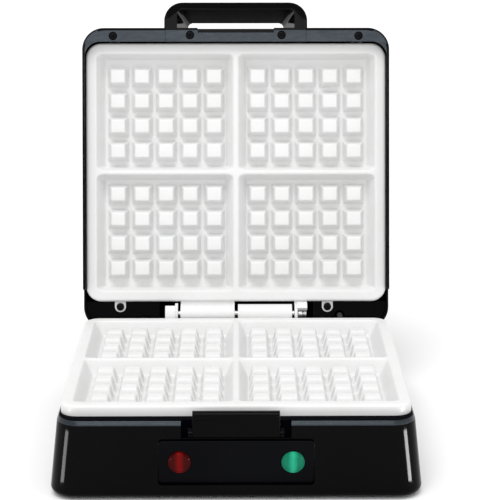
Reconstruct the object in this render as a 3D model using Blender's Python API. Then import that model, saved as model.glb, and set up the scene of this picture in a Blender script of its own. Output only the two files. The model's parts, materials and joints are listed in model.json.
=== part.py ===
"""Four-slice waffle maker, standing open.

Units are metres, +Z is up and the front faces -Y.  Everything is laid out around the hinge:
"hinge coordinates" have their origin on the hinge axis, and lid pieces are drawn closed and
then swung open by the empty that they hang on.
"""
import math

import bmesh
import bpy
from mathutils import Matrix, Vector

MM = 0.001

# Overall sizes
PLATE_WIDTH = 280 * MM
PLATE_DEPTH = 241.3 * MM
PLATE_THICKNESS = 17.5 * MM
OPEN_ANGLE = math.radians(103.6)
HINGE_HEIGHT = 74 * MM
HINGE_BEHIND_PLATE = 11.5 * MM
FOOT_PROUD = 2.5 * MM

# Clearances
PLATE_GAP = 0.4 * MM
SEAT_GAP = 0.3 * MM
RUNNING_CLEARANCE = 0.1 * MM
PLATE_SIDE_GAP = 0.5 * MM
RIM_GAP = 0.6 * MM

# Plate casting
PLATE_CORNER = 14 * MM
PLATE_EDGE_BEVEL = 2.4 * MM
CAVITY_DEPTH = 14 * MM
LAND_WIDTH_SIDE = 9.7 * MM
LAND_WIDTH_FRONT = 9.9 * MM
WALL_RUN_SIDE = 7.2 * MM
WALL_RUN_FRONT = 4.5 * MM
RIDGE_TOP_X = 4.6 * MM
RIDGE_TOP_Y = 3.6 * MM
CAVITY_CORNER = 7 * MM
PEG_COLUMNS = 5
PEG_ROWS = 4
PEG_PITCH_X = 22.5 * MM
PEG_PITCH_Y = 23.2 * MM
PEG_TOP_X = 13.1 * MM
PEG_TOP_Y = 12.2 * MM
PEG_DRAFT = 3.1 * MM
PEG_BELOW_FACE = 2.5 * MM
PEG_SUNK = 0.6 * MM
PEG_FIELD_SHIFT_X = 0.9 * MM
PEG_FIELD_SHIFT_Y = 1.2 * MM

# Hinge
PIN_RADIUS = 3 * MM
NUT_RADIUS = 5 * MM
NUT_LENGTH = 8.4 * MM
KNUCKLE_RADIUS = 8.9 * MM
WEB_RADIUS = 9.9 * MM
GUARD_INNER_RADIUS = 6 * MM
GUARD_EDGE_GAP = 0.4 * MM
GUARD_END_ANGLE = math.radians(121)
GUARD_FOOT_ANGLE = math.radians(206)
GUARD_ROOT_DEPTH = 6 * MM
GUARD_ROOT_LAP = 1.2 * MM
LUG_LAP = 1 * MM
WIDE_LUG_INNER = 1.6 * MM
WIDE_LUG_OUTER = 51.9 * MM
WEB_INNER = 54.4 * MM
WEB_THICKNESS = 2.6 * MM
GUARD_WIDTH = 9 * MM
LUG_ROOT_DEPTH = 15 * MM

# Plate ears and screws
EAR_WIDTH = 10.2 * MM
REAR_EAR_X = (108.6 * MM, -85.4 * MM)
REAR_EAR_REACH = 5 * MM
REAR_EAR_DEPTH = 4 * MM
EAR_THICKNESS = 4 * MM
FRONT_EAR_X = 114 * MM
FRONT_EAR_WALL_GAP = 0.2 * MM
SCREW_RADIUS = 1.8 * MM
SCREW_HEAD_RADIUS = 3.6 * MM
SCREW_HEAD_HEIGHT = 2 * MM
SCREW_HOLE_CLEARANCE = 0.4 * MM
BOSS_RADIUS = 4.5 * MM
SCREW_BITE = 8 * MM
SCREW_RECESS_DEPTH = 0.9 * MM
SCREW_RECESS_WIDTH = 1 * MM
REAR_BOSS_DEPTH = 26 * MM
RIB_THICKNESS = 2 * MM

# Shells
SHELL_SIDE_GAP = 0.4 * MM
SHELL_FRONT_MARGIN = 13.2 * MM
SHELL_BEHIND_HINGE = 14 * MM
SHELL_WALL = 2.2 * MM
SHELL_CORNER = 20 * MM
BASE_RIM_DROP = 9 * MM
RIM_DECK = 2.6 * MM
RIM_CHAMFER_IN = 1.5 * MM
RIM_CHAMFER_DOWN = 3.5 * MM
BASE_FLARE = 6.4 * MM
BASE_FRONT_FLARE = 5.5 * MM
BASE_BOTTOM_ROUND = 5.5 * MM
BASE_REAR_NOTCH_START = -6 * MM
BASE_REAR_WALL_DROP = 18.6 * MM
LID_HEIGHT = 48 * MM
LID_DRAFT = 0.2 * MM
LID_SHOULDER = 30 * MM
LID_CROWN = 26 * MM
CROWN_ANGLES = (25, 50, 72, 90)
LID_LIP = 0.8 * MM
LID_STEP_START = -23 * MM
LID_STEP_HEIGHT = 3 * MM
DECK_THICKNESS = 2.2 * MM
LUG_OPENING = 72 * MM
COVER_THICKNESS = 2.5 * MM
COVER_RAISE = 0.2 * MM
VENT_COUNT = 6
VENT_PITCH = 9 * MM
VENT_LENGTH = 60 * MM
VENT_WIDTH = 3 * MM

# Front latch
LATCH_HALF_WIDTH = 34.4 * MM
LATCH_TOP_DROP = 1 * MM
LATCH_BOTTOM_DROP = 22 * MM
LATCH_FACE_PROUD = 2.2 * MM
LATCH_NECK_THICKNESS = 4 * MM
LATCH_NOSE_REACH = 2.2 * MM
LATCH_NOSE_HEIGHT = 2.6 * MM
LATCH_PIN_RADIUS = 1.25 * MM
LATCH_PIN_DROP = 18.4 * MM
LATCH_RECESS_HALF_WIDTH = 43.5 * MM
LATCH_RECESS_DEPTH = 4.2 * MM
LATCH_BACK_WALL = 2 * MM
LATCH_CHEEK = 3 * MM
LATCH_SIDE_CLEARANCE = 0.5 * MM
LATCH_MOUTH_CLEARANCE = 0.5 * MM
LATCH_SWING = 3.2 * MM
LATCH_PIN_SETBACK = 2.6 * MM
LATCH_EDGE_ROUND = 0.6 * MM

# Control panel and lamps
PANEL_HALF_WIDTH = 61.5 * MM
PANEL_HEIGHT = 36.6 * MM
PANEL_TOP_DROP = 23.6 * MM
PANEL_THICKNESS = 1.3 * MM
PANEL_RECESS = 1.1 * MM
PANEL_CORNER = 3 * MM
PANEL_GAP = 0.3 * MM
LENS_X = 44.8 * MM
LENS_RADIUS = 9.2 * MM
LENS_DOME = 1.6 * MM
LENS_SKIRT_RADIUS = 6.8 * MM
LENS_SKIRT_WALL = 1.2 * MM
LENS_SKIRT_LENGTH = 9 * MM
LAMP_RADIUS = 3 * MM
LAMP_LENGTH = 14 * MM

# Handle
HANDLE_HALF_WIDTH = 66.4 * MM
HANDLE_FLANGE_HALF_WIDTH = 65.2 * MM
HANDLE_REACH = 23.5 * MM
HANDLE_CORNER = 17 * MM
FLANGE_THICKNESS = 12.4 * MM
GRIP_NEAR_THICKNESS = 6.4 * MM
GRIP_FAR_THICKNESS = 14.5 * MM
HOLE_NEAR_HALF_WIDTH = 54.5 * MM
HOLE_FAR_HALF_WIDTH = 45.5 * MM
HOLE_CORNER = 5 * MM
HANDLE_SCREW_X = 42.5 * MM
RIM_SCREW_INSET = 6.7 * MM
HANDLE_BOSS_HEIGHT = 14 * MM
GRIP_EASE = 2 * MM

# Heating and wiring
ELEMENT_RADIUS = 3.2 * MM
ELEMENT_HALF_WIDTH = 96 * MM
ELEMENT_BEND = 26 * MM
ELEMENT_MARGIN = 28 * MM
ELEMENT_TERMINAL_X = 16 * MM
REFLECTOR_SHEET = 0.8 * MM
REFLECTOR_MARGIN = 14 * MM
REFLECTOR_HOLE = 14 * MM
REFLECTOR_CORNER = 12 * MM
THERMOSTAT_RADIUS = 9 * MM
THERMOSTAT_HEIGHT = 12 * MM
BLADE_SPACING = 9 * MM
BLADE_WIDTH = 6 * MM
BLADE_THICKNESS = 0.8 * MM
BLADE_LENGTH = 7 * MM
FUSE_RADIUS = 2.2 * MM
FUSE_LENGTH = 28 * MM
FUSE_BEHIND_MIDDLE = 40 * MM
FUSE_BELOW_REFLECTOR = 5 * MM
LEAD_RADIUS = 2.6 * MM
LEAD_X = 97 * MM
WIRE_RADIUS = 1.3 * MM
WIRE_X = 11 * MM
TERMINAL_PITCH = 10 * MM
TERMINAL_HEIGHT = 15 * MM
TERMINAL_DEPTH = 18 * MM
TERMINAL_FROM_GLAND = 34 * MM
TERMINAL_FROM_PLATE_REAR = 14 * MM
FOOT_RADIUS = 9 * MM
FOOT_PLUG_RADIUS = 4 * MM
PILLAR_INSET = 13 * MM
PILLAR_WIDTH = 9 * MM
PILLAR_HEIGHT = 24 * MM
GLAND_X = 104 * MM
GLAND_DROP = 50 * MM
GLAND_BODY_RADIUS = 6.5 * MM
GLAND_FLANGE_RADIUS = 9.5 * MM
GLAND_BORE_RADIUS = 3.7 * MM
GLAND_FLANGE_THICKNESS = 2.5 * MM
GLAND_INSIDE = 6.2 * MM

CIRCLE_STEPS = 20
SMALL_CIRCLE_STEPS = 12
CORNER_STEPS = 5

# Places in hinge coordinates that several pieces share
PLATE_FACE = -PLATE_GAP / 2
PLATE_REAR = -HINGE_BEHIND_PLATE
PLATE_FRONT = PLATE_REAR - PLATE_DEPTH
PLATE_MIDDLE = (PLATE_REAR + PLATE_FRONT) / 2
PLATE_HALF = PLATE_WIDTH / 2
PLATE_BACK = PLATE_FACE - PLATE_THICKNESS
SHELL_HALF = PLATE_HALF + SHELL_SIDE_GAP + SHELL_WALL
SHELL_FRONT = PLATE_FRONT - SHELL_FRONT_MARGIN
SHELL_REAR = SHELL_BEHIND_HINGE
OPENING_HALF = PLATE_HALF + PLATE_SIDE_GAP
OPENING_FRONT = PLATE_FRONT - PLATE_SIDE_GAP
OPENING_REAR = SHELL_REAR - SHELL_WALL
BASE_BOTTOM = -HINGE_HEIGHT + FOOT_PROUD
LID_RIM = -BASE_RIM_DROP + RIM_GAP
LID_STRAIGHT_TOP = LID_HEIGHT - LID_CROWN
HANDLE_TOP = LID_STRAIGHT_TOP + LID_CROWN * math.sin(math.radians(CROWN_ANGLES[0]))
HANDLE_TOP_LEAN = LID_DRAFT + LID_SHOULDER * (1 - math.cos(math.radians(CROWN_ANGLES[0])))
FRONT_EAR_Y = SHELL_FRONT + SHELL_WALL + FRONT_EAR_WALL_GAP + EAR_WIDTH / 2
REAR_EAR_Y = PLATE_REAR + REAR_EAR_REACH
REAR_EAR_FACE = PLATE_FACE - REAR_EAR_DEPTH
FLANGE_SCREW_Y = SHELL_FRONT + RIM_SCREW_INSET
LATCH_BACK = SHELL_FRONT + LATCH_RECESS_DEPTH
LATCH_FACE = SHELL_FRONT - LATCH_FACE_PROUD
LATCH_PIN_Y = LATCH_FACE + LATCH_PIN_SETBACK
PANEL_DROP = PANEL_TOP_DROP + PANEL_HEIGHT / 2
FRONT_TILT = math.atan2(BASE_FRONT_FLARE, -BASE_BOTTOM - BASE_RIM_DROP - RIM_CHAMFER_DOWN)


# ---------------------------------------------------------------- shapes

def clear_scene():
    for item in list(bpy.data.objects):
        bpy.data.objects.remove(item, do_unlink=True)


def add_object(name, mesh):
    body = bpy.data.objects.new(name, mesh)
    bpy.context.scene.collection.objects.link(body)
    return body


def rectangle(x_min, x_max, y_min, y_max):
    return [(x_min, y_min), (x_max, y_min), (x_max, y_max), (x_min, y_max)]


def rounded_rectangle(x_min, x_max, y_min, y_max, radius, steps=CORNER_STEPS):
    corners = [(x_max - radius, y_min + radius, -90), (x_max - radius, y_max - radius, 0),
               (x_min + radius, y_max - radius, 90), (x_min + radius, y_min + radius, 180)]
    points = []
    for centre_x, centre_y, start in corners:
        for step in range(steps + 1):
            angle = math.radians(start + 90 * step / steps)
            points.append((centre_x + radius * math.cos(angle), centre_y + radius * math.sin(angle)))
    return points


def arc(centre_x, centre_y, radius, start, end, steps):
    angles = [start + (end - start) * step / steps for step in range(steps + 1)]
    return [(centre_x + radius * math.cos(a), centre_y + radius * math.sin(a)) for a in angles]


def circle(centre_x, centre_y, radius, steps=CIRCLE_STEPS):
    return arc(centre_x, centre_y, radius, 0, 2 * math.pi * (steps - 1) / steps, steps - 1)


def loft(name, sections):
    """Closed solid through outlines of equal length, each given with its height, lowest first."""
    bm = bmesh.new()
    rings = [[bm.verts.new((x, y, height)) for x, y in outline] for outline, height in sections]
    count = len(rings[0])
    for lower, upper in zip(rings, rings[1:]):
        for i in range(count):
            following = (i + 1) % count
            bm.faces.new((lower[i], lower[following], upper[following], upper[i]))
    bm.faces.new(list(reversed(rings[0])))
    bm.faces.new(rings[-1])
    mesh = bpy.data.meshes.new(name)
    bm.to_mesh(mesh)
    bm.free()
    return add_object(name, mesh)


def prism(name, outline, low, high):
    return loft(name, [(outline, low), (outline, high)])


def box(name, x_min, x_max, y_min, y_max, z_min, z_max):
    return prism(name, rectangle(x_min, x_max, y_min, y_max), z_min, z_max)


def turn_mesh(body, matrix):
    body.data.transform(matrix)
    return body


def prism_along_x(name, outline_yz, x_min, x_max):
    """Prism whose outline is given as (y, z) pairs."""
    to_x = Matrix(((0, 0, 1, 0), (1, 0, 0, 0), (0, 1, 0, 0), (0, 0, 0, 1)))
    return turn_mesh(prism(name, outline_yz, x_min, x_max), to_x)


def rod(name, start, end, radius, steps=CIRCLE_STEPS):
    """Straight round bar between two points."""
    span = Vector(end) - Vector(start)
    body = prism(name, circle(0, 0, radius, steps), 0, span.length)
    turn = span.to_track_quat("Z", "Y").to_matrix().to_4x4()
    return turn_mesh(body, Matrix.Translation(start) @ turn)


def lathe(name, profile, steps=CIRCLE_STEPS):
    """Solid turned about Z from a closed (radius, height) profile, outer side running upward."""
    bm = bmesh.new()
    rings = []
    for radius, height in profile:
        if radius == 0:
            rings.append([bm.verts.new((0, 0, height))] * steps)
        else:
            rings.append([bm.verts.new((x, y, height)) for x, y in circle(0, 0, radius, steps)])
    for lower, upper in zip(rings, rings[1:] + rings[:1]):
        for i in range(steps):
            following = (i + 1) % steps
            corners = [lower[i], lower[following], upper[following], upper[i]]
            unique = list(dict.fromkeys(corners))
            if len(unique) > 2:
                bm.faces.new(unique)
    mesh = bpy.data.meshes.new(name)
    bm.to_mesh(mesh)
    bm.free()
    return add_object(name, mesh)


def combine(body, tool, operation):
    """Apply one exact Boolean and drop the tool."""
    modifier = body.modifiers.new(operation, "BOOLEAN")
    modifier.operation = operation
    modifier.object = tool
    modifier.solver = "EXACT"
    shape = body.evaluated_get(bpy.context.evaluated_depsgraph_get())
    mesh = bpy.data.meshes.new_from_object(shape)
    body.modifiers.clear()
    body.data = mesh
    bpy.data.objects.remove(tool, do_unlink=True)
    return body


def cut(body, *tools):
    for tool in tools:
        combine(body, tool, "DIFFERENCE")
    return body


def join(body, *tools):
    for tool in tools:
        combine(body, tool, "UNION")
    return body


def group(name, tools):
    """Several solids that stay apart, held in one object as one Boolean tool."""
    bm = bmesh.new()
    for tool in tools:
        bm.from_mesh(tool.data)
        bpy.data.objects.remove(tool, do_unlink=True)
    mesh = bpy.data.meshes.new(name)
    bm.to_mesh(mesh)
    bm.free()
    return add_object(name, mesh)


def tube(name, points, radius, sides=2):
    """Round wire along a smooth curve through the points."""
    curve = bpy.data.curves.new(name, "CURVE")
    curve.dimensions = "3D"
    curve.bevel_depth = radius
    curve.bevel_resolution = sides
    curve.use_fill_caps = True
    spline = curve.splines.new("POLY")
    smooth = catmull_rom(points)
    spline.points.add(len(smooth) - 1)
    for target, point in zip(spline.points, smooth):
        target.co = (*point, 1)
    return add_object(name, curve)


def catmull_rom(points, steps=5):
    places = [Vector(p) for p in points]
    padded = [places[0] * 2 - places[1]] + places + [places[-1] * 2 - places[-2]]
    result = []
    for a, b, c, d in zip(padded, padded[1:], padded[2:], padded[3:]):
        for step in range(steps):
            t = step / steps
            curve = 2 * b + (c - a) * t + (2 * a - 5 * b + 4 * c - d) * t ** 2
            result.append((curve + (3 * b - a - 3 * c + d) * t ** 3) / 2)
    return result + [places[-1]]


# ---------------------------------------------------------------- materials

def material(name, colour, roughness, metallic=0.0):
    finish = bpy.data.materials.new(name)
    finish.use_nodes = True
    shader = finish.node_tree.nodes["Principled BSDF"]
    shader.inputs["Base Color"].default_value = (*colour, 1)
    shader.inputs["Roughness"].default_value = roughness
    shader.inputs["Metallic"].default_value = metallic
    return finish


def dress(body, finish, parent):
    body.data.materials.clear()
    body.data.materials.append(finish)
    body.parent = parent
    if body.type == "MESH":
        body.data.shade_smooth()
        body.data.set_sharp_from_angle(angle=math.radians(30))
    return body


# ---------------------------------------------------------------- plates

def flip_to_lid(body):
    """Turn a base-side solid over about the Y axis, into its place in the closed lid."""
    return turn_mesh(body, Matrix.Rotation(math.pi, 4, "Y"))


def plate_slab(name):
    def outline(inset):
        return rounded_rectangle(-PLATE_HALF + inset, PLATE_HALF - inset, PLATE_FRONT + inset,
                                 PLATE_REAR - inset, PLATE_CORNER - inset)
    half = PLATE_EDGE_BEVEL / 2
    levels = [(0, PLATE_BACK), (0, PLATE_FACE - PLATE_EDGE_BEVEL), (half * 0.6, PLATE_FACE - half * 0.6),
              (PLATE_EDGE_BEVEL, PLATE_FACE)]
    return loft(name, [(outline(inset), height) for inset, height in levels])


def cavity_cutter(side, end):
    """Tapered hollow of one quarter; side is +1 right, end is +1 rear."""
    above = 1 * MM
    floor = PLATE_FACE - CAVITY_DEPTH
    land_x = PLATE_HALF - LAND_WIDTH_SIDE
    land_y = PLATE_DEPTH / 2 - LAND_WIDTH_FRONT

    def outline(height):
        rise = (height - PLATE_FACE) / CAVITY_DEPTH
        run_side = WALL_RUN_SIDE * rise
        run_front = WALL_RUN_FRONT * rise
        xs = sorted((side * (RIDGE_TOP_X / 2 - run_side), side * (land_x + run_side)))
        ys = sorted((end * (RIDGE_TOP_Y / 2 - run_front), end * (land_y + run_front)))
        return rounded_rectangle(*xs, PLATE_MIDDLE + ys[0], PLATE_MIDDLE + ys[1], CAVITY_CORNER, 3)
    return loft("cavity", [(outline(floor), floor), (outline(PLATE_FACE + above), PLATE_FACE + above)])


def peg(x, y):
    top = PLATE_FACE - PEG_BELOW_FACE
    bottom = PLATE_FACE - CAVITY_DEPTH - PEG_SUNK
    height = CAVITY_DEPTH - PEG_BELOW_FACE
    spread = PEG_DRAFT * (height + PEG_SUNK) / height

    def outline(grow):
        half_x = PEG_TOP_X / 2 + grow
        half_y = PEG_TOP_Y / 2 + grow
        return rectangle(x - half_x, x + half_x, y - half_y, y + half_y)
    return loft("peg", [(outline(spread), bottom), (outline(0), top)])


def peg_field():
    land_x = PLATE_HALF - LAND_WIDTH_SIDE
    land_y = PLATE_DEPTH / 2 - LAND_WIDTH_FRONT
    quarter_x = (land_x + RIDGE_TOP_X / 2) / 2 - PEG_FIELD_SHIFT_X
    quarter_y = (land_y + RIDGE_TOP_Y / 2) / 2 - PEG_FIELD_SHIFT_Y
    pegs = []
    for side in (-1, 1):
        for end in (-1, 1):
            for column in range(PEG_COLUMNS):
                for row in range(PEG_ROWS):
                    x = side * quarter_x + (column - (PEG_COLUMNS - 1) / 2) * PEG_PITCH_X
                    y = end * quarter_y + (row - (PEG_ROWS - 1) / 2) * PEG_PITCH_Y
                    pegs.append(peg(x, PLATE_MIDDLE + y))
    return group("pegs", pegs)


def lug_outline(radius):
    """Knuckle round the hinge axis with a wedge that runs into the plate's rear wall."""
    root = PLATE_REAR - LUG_LAP
    low = -LUG_ROOT_DEPTH
    high = PLATE_FACE - PLATE_EDGE_BEVEL
    start = math.atan2(low, root) + math.acos(radius / math.hypot(root, low))
    end = math.atan2(high, -math.sqrt(radius ** 2 - high ** 2)) + 2 * math.pi
    return [(root, low)] + arc(0, 0, radius, start, end, 16) + [(root, high)]


def guard_outline():
    """Curved wall that stands in front of the hinge nut, just clear of the other plate's edge."""
    outer = HINGE_BEHIND_PLATE - GUARD_EDGE_GAP
    edge = arc(0, 0, outer, GUARD_FOOT_ANGLE, GUARD_END_ANGLE, 8)
    inner = arc(0, 0, GUARD_INNER_RADIUS, GUARD_END_ANGLE, GUARD_FOOT_ANGLE, 6)
    return list(reversed(edge + inner))


def guard_root():
    """Bar that ties the guard to the plate's rear wall below the face."""
    top = PLATE_FACE - PLATE_EDGE_BEVEL
    return rectangle(PLATE_REAR - LUG_LAP, -GUARD_INNER_RADIUS - GUARD_ROOT_LAP, top - GUARD_ROOT_DEPTH, top)


def hinge_lugs():
    web_outer = WEB_INNER + WEB_THICKNESS
    guard_outer = web_outer + GUARD_WIDTH
    sunk = 0.5 * MM
    return [prism_along_x("wide_lug", lug_outline(KNUCKLE_RADIUS), WIDE_LUG_INNER, WIDE_LUG_OUTER),
            prism_along_x("web", lug_outline(WEB_RADIUS), -web_outer, -WEB_INNER),
            prism_along_x("guard", guard_outline(), -guard_outer, -web_outer + sunk),
            prism_along_x("guard_root", guard_root(), -guard_outer, -web_outer + sunk)]


def ear_outline(x, y, inward):
    """Round-ended tongue; inward is +1 where the plate lies towards +Y."""
    half = EAR_WIDTH / 2
    root = inward * 2 * REAR_EAR_REACH
    if inward > 0:
        return arc(x, y, half, math.pi, 2 * math.pi, 8) + [(x + half, y + root), (x - half, y + root)]
    return arc(x, y, half, 0, math.pi, 8) + [(x - half, y + root), (x + half, y + root)]


def plate_ears():
    ears = []
    for x in REAR_EAR_X:
        outline = ear_outline(x, REAR_EAR_Y, -1)
        ears.append(prism("ear", outline, REAR_EAR_FACE - EAR_THICKNESS, REAR_EAR_FACE))
    for x in (-FRONT_EAR_X, FRONT_EAR_X):
        ears.append(prism("ear", ear_outline(x, FRONT_EAR_Y, 1), PLATE_BACK, PLATE_BACK + EAR_THICKNESS))
    return ears


def plate_holes():
    radius = SCREW_RADIUS + SCREW_HOLE_CLEARANCE
    places = [(x, REAR_EAR_Y) for x in REAR_EAR_X] + [(-FRONT_EAR_X, FRONT_EAR_Y), (FRONT_EAR_X, FRONT_EAR_Y)]
    holes = [prism("hole", circle(x, y, radius, SMALL_CIRCLE_STEPS), -30 * MM, 5 * MM) for x, y in places]
    bore = rod("bore", (-PLATE_HALF, 0, 0), (PLATE_HALF, 0, 0), PIN_RADIUS + RUNNING_CLEARANCE)
    return holes + [bore]


def plate_casting(name):
    plate = plate_slab(name)
    cut(plate, *[cavity_cutter(side, end) for side in (-1, 1) for end in (-1, 1)])
    join(plate, peg_field(), *hinge_lugs(), *plate_ears())
    return cut(plate, *plate_holes())


# ---------------------------------------------------------------- screws

def screw(name, head_seat, length, down=True):
    """Pan-head screw; its head rests on head_seat and its shank runs down, or up, from it."""
    x, y, z = head_seat
    way = -1 if down else 1
    seat = -way * SEAT_GAP
    top = seat - way * SCREW_HEAD_HEIGHT
    rim = seat - way * SCREW_HEAD_HEIGHT * 0.6
    profile = [(0, way * length), (SCREW_RADIUS, way * length), (SCREW_RADIUS, seat),
               (SCREW_HEAD_RADIUS, seat), (SCREW_HEAD_RADIUS, rim), (SCREW_HEAD_RADIUS * 0.7, top), (0, top)]
    body = lathe(name, profile if down else list(reversed(profile)), SMALL_CIRCLE_STEPS)
    long = SCREW_HEAD_RADIUS / 2
    wide = SCREW_RECESS_WIDTH / 2
    heights = sorted((top - way * MM, top + way * SCREW_RECESS_DEPTH))
    cut(body, box("slot", -long, long, -wide, wide, *heights))
    cut(body, box("slot", -wide, wide, -long, long, *heights))
    return turn_mesh(body, Matrix.Translation((x, y, z)))


# ---------------------------------------------------------------- base

def base_outline(height, inset):
    """Outer outline of the base at a height: straight down to the rim, then flaring out."""
    start = -BASE_RIM_DROP - RIM_CHAMFER_DOWN
    share = max(0, (height - start) / (BASE_BOTTOM - start))
    half = SHELL_HALF + BASE_FLARE * share - inset
    front = SHELL_FRONT - BASE_FRONT_FLARE * share + inset
    return rounded_rectangle(-half, half, front, SHELL_REAR - inset, SHELL_CORNER - inset)


def base_body():
    rim = -BASE_RIM_DROP
    shoulder = rim - RIM_CHAMFER_DOWN
    turn = BASE_BOTTOM + BASE_BOTTOM_ROUND
    levels = [(BASE_BOTTOM_ROUND * 0.8, BASE_BOTTOM),
              (BASE_BOTTOM_ROUND * 0.4, BASE_BOTTOM + BASE_BOTTOM_ROUND * 0.2),
              (BASE_BOTTOM_ROUND * 0.1, BASE_BOTTOM + BASE_BOTTOM_ROUND * 0.6),
              (0, turn), (0, shoulder), (RIM_CHAMFER_IN, rim)]
    return loft("base_shell", [(base_outline(height, inset), height) for inset, height in levels])


def base_hollow():
    """Room inside the base, open at the bottom, closed above by the rim deck."""
    low = BASE_BOTTOM - 1 * MM
    high = -BASE_RIM_DROP - RIM_DECK
    return loft("hollow", [(base_outline(BASE_BOTTOM, SHELL_WALL + BASE_BOTTOM_ROUND * 0.8), low),
                           (base_outline(high, SHELL_WALL), high)])


def plate_opening(low, high):
    outline = rounded_rectangle(-OPENING_HALF, OPENING_HALF, OPENING_FRONT, OPENING_REAR,
                                PLATE_CORNER + PLATE_SIDE_GAP)
    return prism("opening", outline, low, high)


def rear_notch():
    """Lower rear edge of the base, which the lid's rear wall swings down to."""
    reach = SHELL_HALF + BASE_FLARE + 5 * MM
    return box("notch", -reach, reach, BASE_REAR_NOTCH_START, SHELL_REAR + 10 * MM,
               -BASE_REAR_WALL_DROP, 5 * MM)


def wall_x(height):
    """Middle of the side wall's thickness at a height."""
    start = -BASE_RIM_DROP - RIM_CHAMFER_DOWN
    share = (height - start) / (BASE_BOTTOM - start)
    return SHELL_HALF + BASE_FLARE * share - SHELL_WALL / 2


def four_corners(x, front, rear):
    return {"front_left": (-x, front), "front_right": (x, front),
            "rear_left": (-x, rear), "rear_right": (x, rear)}


def pillar_places():
    front = SHELL_FRONT + SHELL_CORNER + PILLAR_WIDTH / 2
    rear = SHELL_REAR - SHELL_CORNER - PILLAR_WIDTH / 2
    return four_corners(SHELL_HALF - PILLAR_INSET, front, rear)


def base_pillars():
    """Blocks on the side walls that take the bottom cover's screws."""
    low = BASE_BOTTOM + COVER_THICKNESS + SEAT_GAP
    high = low + PILLAR_HEIGHT
    blocks = []
    for x, y in pillar_places().values():
        side = math.copysign(1, x)
        xs = sorted((side * wall_x(high), x - side * PILLAR_WIDTH / 2))
        blocks.append(box("pillar", *xs, y - PILLAR_WIDTH / 2, y + PILLAR_WIDTH / 2, low, high))
    return blocks


def cover_screw_holes():
    low = BASE_BOTTOM
    radius = SCREW_RADIUS + SEAT_GAP
    high = low + COVER_THICKNESS + 2 * SCREW_BITE
    shapes = [circle(x, y, radius, SMALL_CIRCLE_STEPS) for x, y in pillar_places().values()]
    return [prism("hole", shape, low, high) for shape in shapes]


def ear_boss(x, y, ear_back, wall_y, rib_top, depth):
    """Column under a plate ear, tied to a wall by a rib."""
    low = ear_back - SEAT_GAP - depth
    column = prism("boss", circle(x, y, BOSS_RADIUS, SMALL_CIRCLE_STEPS), low, ear_back - SEAT_GAP)
    ys = sorted((y, wall_y))
    half = RIB_THICKNESS / 2
    return [column, box("rib", x - half, x + half, *ys, low, min(rib_top, ear_back - SEAT_GAP))]


def base_ear_bosses():
    parts = []
    rear_wall = SHELL_REAR - SHELL_WALL / 2
    rear_back = REAR_EAR_FACE - EAR_THICKNESS
    for x in REAR_EAR_X:
        parts += ear_boss(x, REAR_EAR_Y, rear_back, rear_wall, -BASE_REAR_WALL_DROP - MM, REAR_BOSS_DEPTH)
    front_wall = SHELL_FRONT + SHELL_WALL / 2
    for x in (-FRONT_EAR_X, FRONT_EAR_X):
        parts += ear_boss(x, FRONT_EAR_Y, PLATE_BACK, front_wall, PLATE_BACK - SEAT_GAP, 2 * SCREW_BITE)
    return parts


def base_ear_screw_holes():
    radius = SCREW_RADIUS + SEAT_GAP
    holes = []
    rear_back = REAR_EAR_FACE - EAR_THICKNESS
    for x in REAR_EAR_X:
        low = rear_back - SEAT_GAP - SCREW_BITE - 2 * MM
        holes.append(prism("hole", circle(x, REAR_EAR_Y, radius, SMALL_CIRCLE_STEPS), low, rear_back))
    for x in (-FRONT_EAR_X, FRONT_EAR_X):
        low = PLATE_BACK - SEAT_GAP - 2 * SCREW_BITE - MM
        holes.append(prism("hole", circle(x, FRONT_EAR_Y, radius, SMALL_CIRCLE_STEPS), low, PLATE_BACK))
    return holes


def latch_backing():
    """Wall behind the latch recess and the floor below it."""
    half = LATCH_RECESS_HALF_WIDTH + SHELL_WALL
    inner = LATCH_BACK + LATCH_BACK_WALL
    low = -LATCH_BOTTOM_DROP - LATCH_CHEEK
    high = -BASE_RIM_DROP - RIM_DECK / 2
    return box("backing", -half, half, SHELL_FRONT + SHELL_WALL / 2, inner, low, high)


def latch_recess():
    half = LATCH_RECESS_HALF_WIDTH
    low = -LATCH_BOTTOM_DROP - LATCH_SIDE_CLEARANCE
    return box("recess", -half, half, SHELL_FRONT - BASE_FRONT_FLARE, LATCH_BACK, low, MM)


def latch_cheeks():
    """Two walls that carry the ends of the latch pin."""
    inner = LATCH_HALF_WIDTH + LATCH_SIDE_CLEARANCE
    low = -LATCH_BOTTOM_DROP - 2 * MM
    high = -LATCH_PIN_DROP + 4 * MM
    walls = []
    for side in (-1, 1):
        xs = sorted((side * inner, side * (inner + LATCH_CHEEK)))
        walls.append(box("cheek", *xs, SHELL_FRONT, LATCH_BACK + MM, low, high))
    return walls


def front_face(distance_down):
    """Point on the middle of the sloping front wall, measured down from its top edge."""
    top = -BASE_RIM_DROP - RIM_CHAMFER_DOWN
    return (SHELL_FRONT - math.sin(FRONT_TILT) * distance_down, top - math.cos(FRONT_TILT) * distance_down)


def lay_on_front(body, drop):
    """Place a solid drawn flat about the origin, facing +Z, on the front wall at a drop below the hinge."""
    top = BASE_RIM_DROP + RIM_CHAMFER_DOWN
    y, z = front_face((drop - top) / math.cos(FRONT_TILT))
    turn = Matrix.Rotation(math.pi / 2 + FRONT_TILT, 4, "X")
    return turn_mesh(body, Matrix.Translation((0, y, z)) @ turn)


def panel_shape(name, grow, low, high):
    half_x = PANEL_HALF_WIDTH + grow
    half_y = PANEL_HEIGHT / 2 + grow
    outline = rounded_rectangle(-half_x, half_x, -half_y, half_y, PANEL_CORNER, 3)
    return prism(name, outline, low, high)


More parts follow.
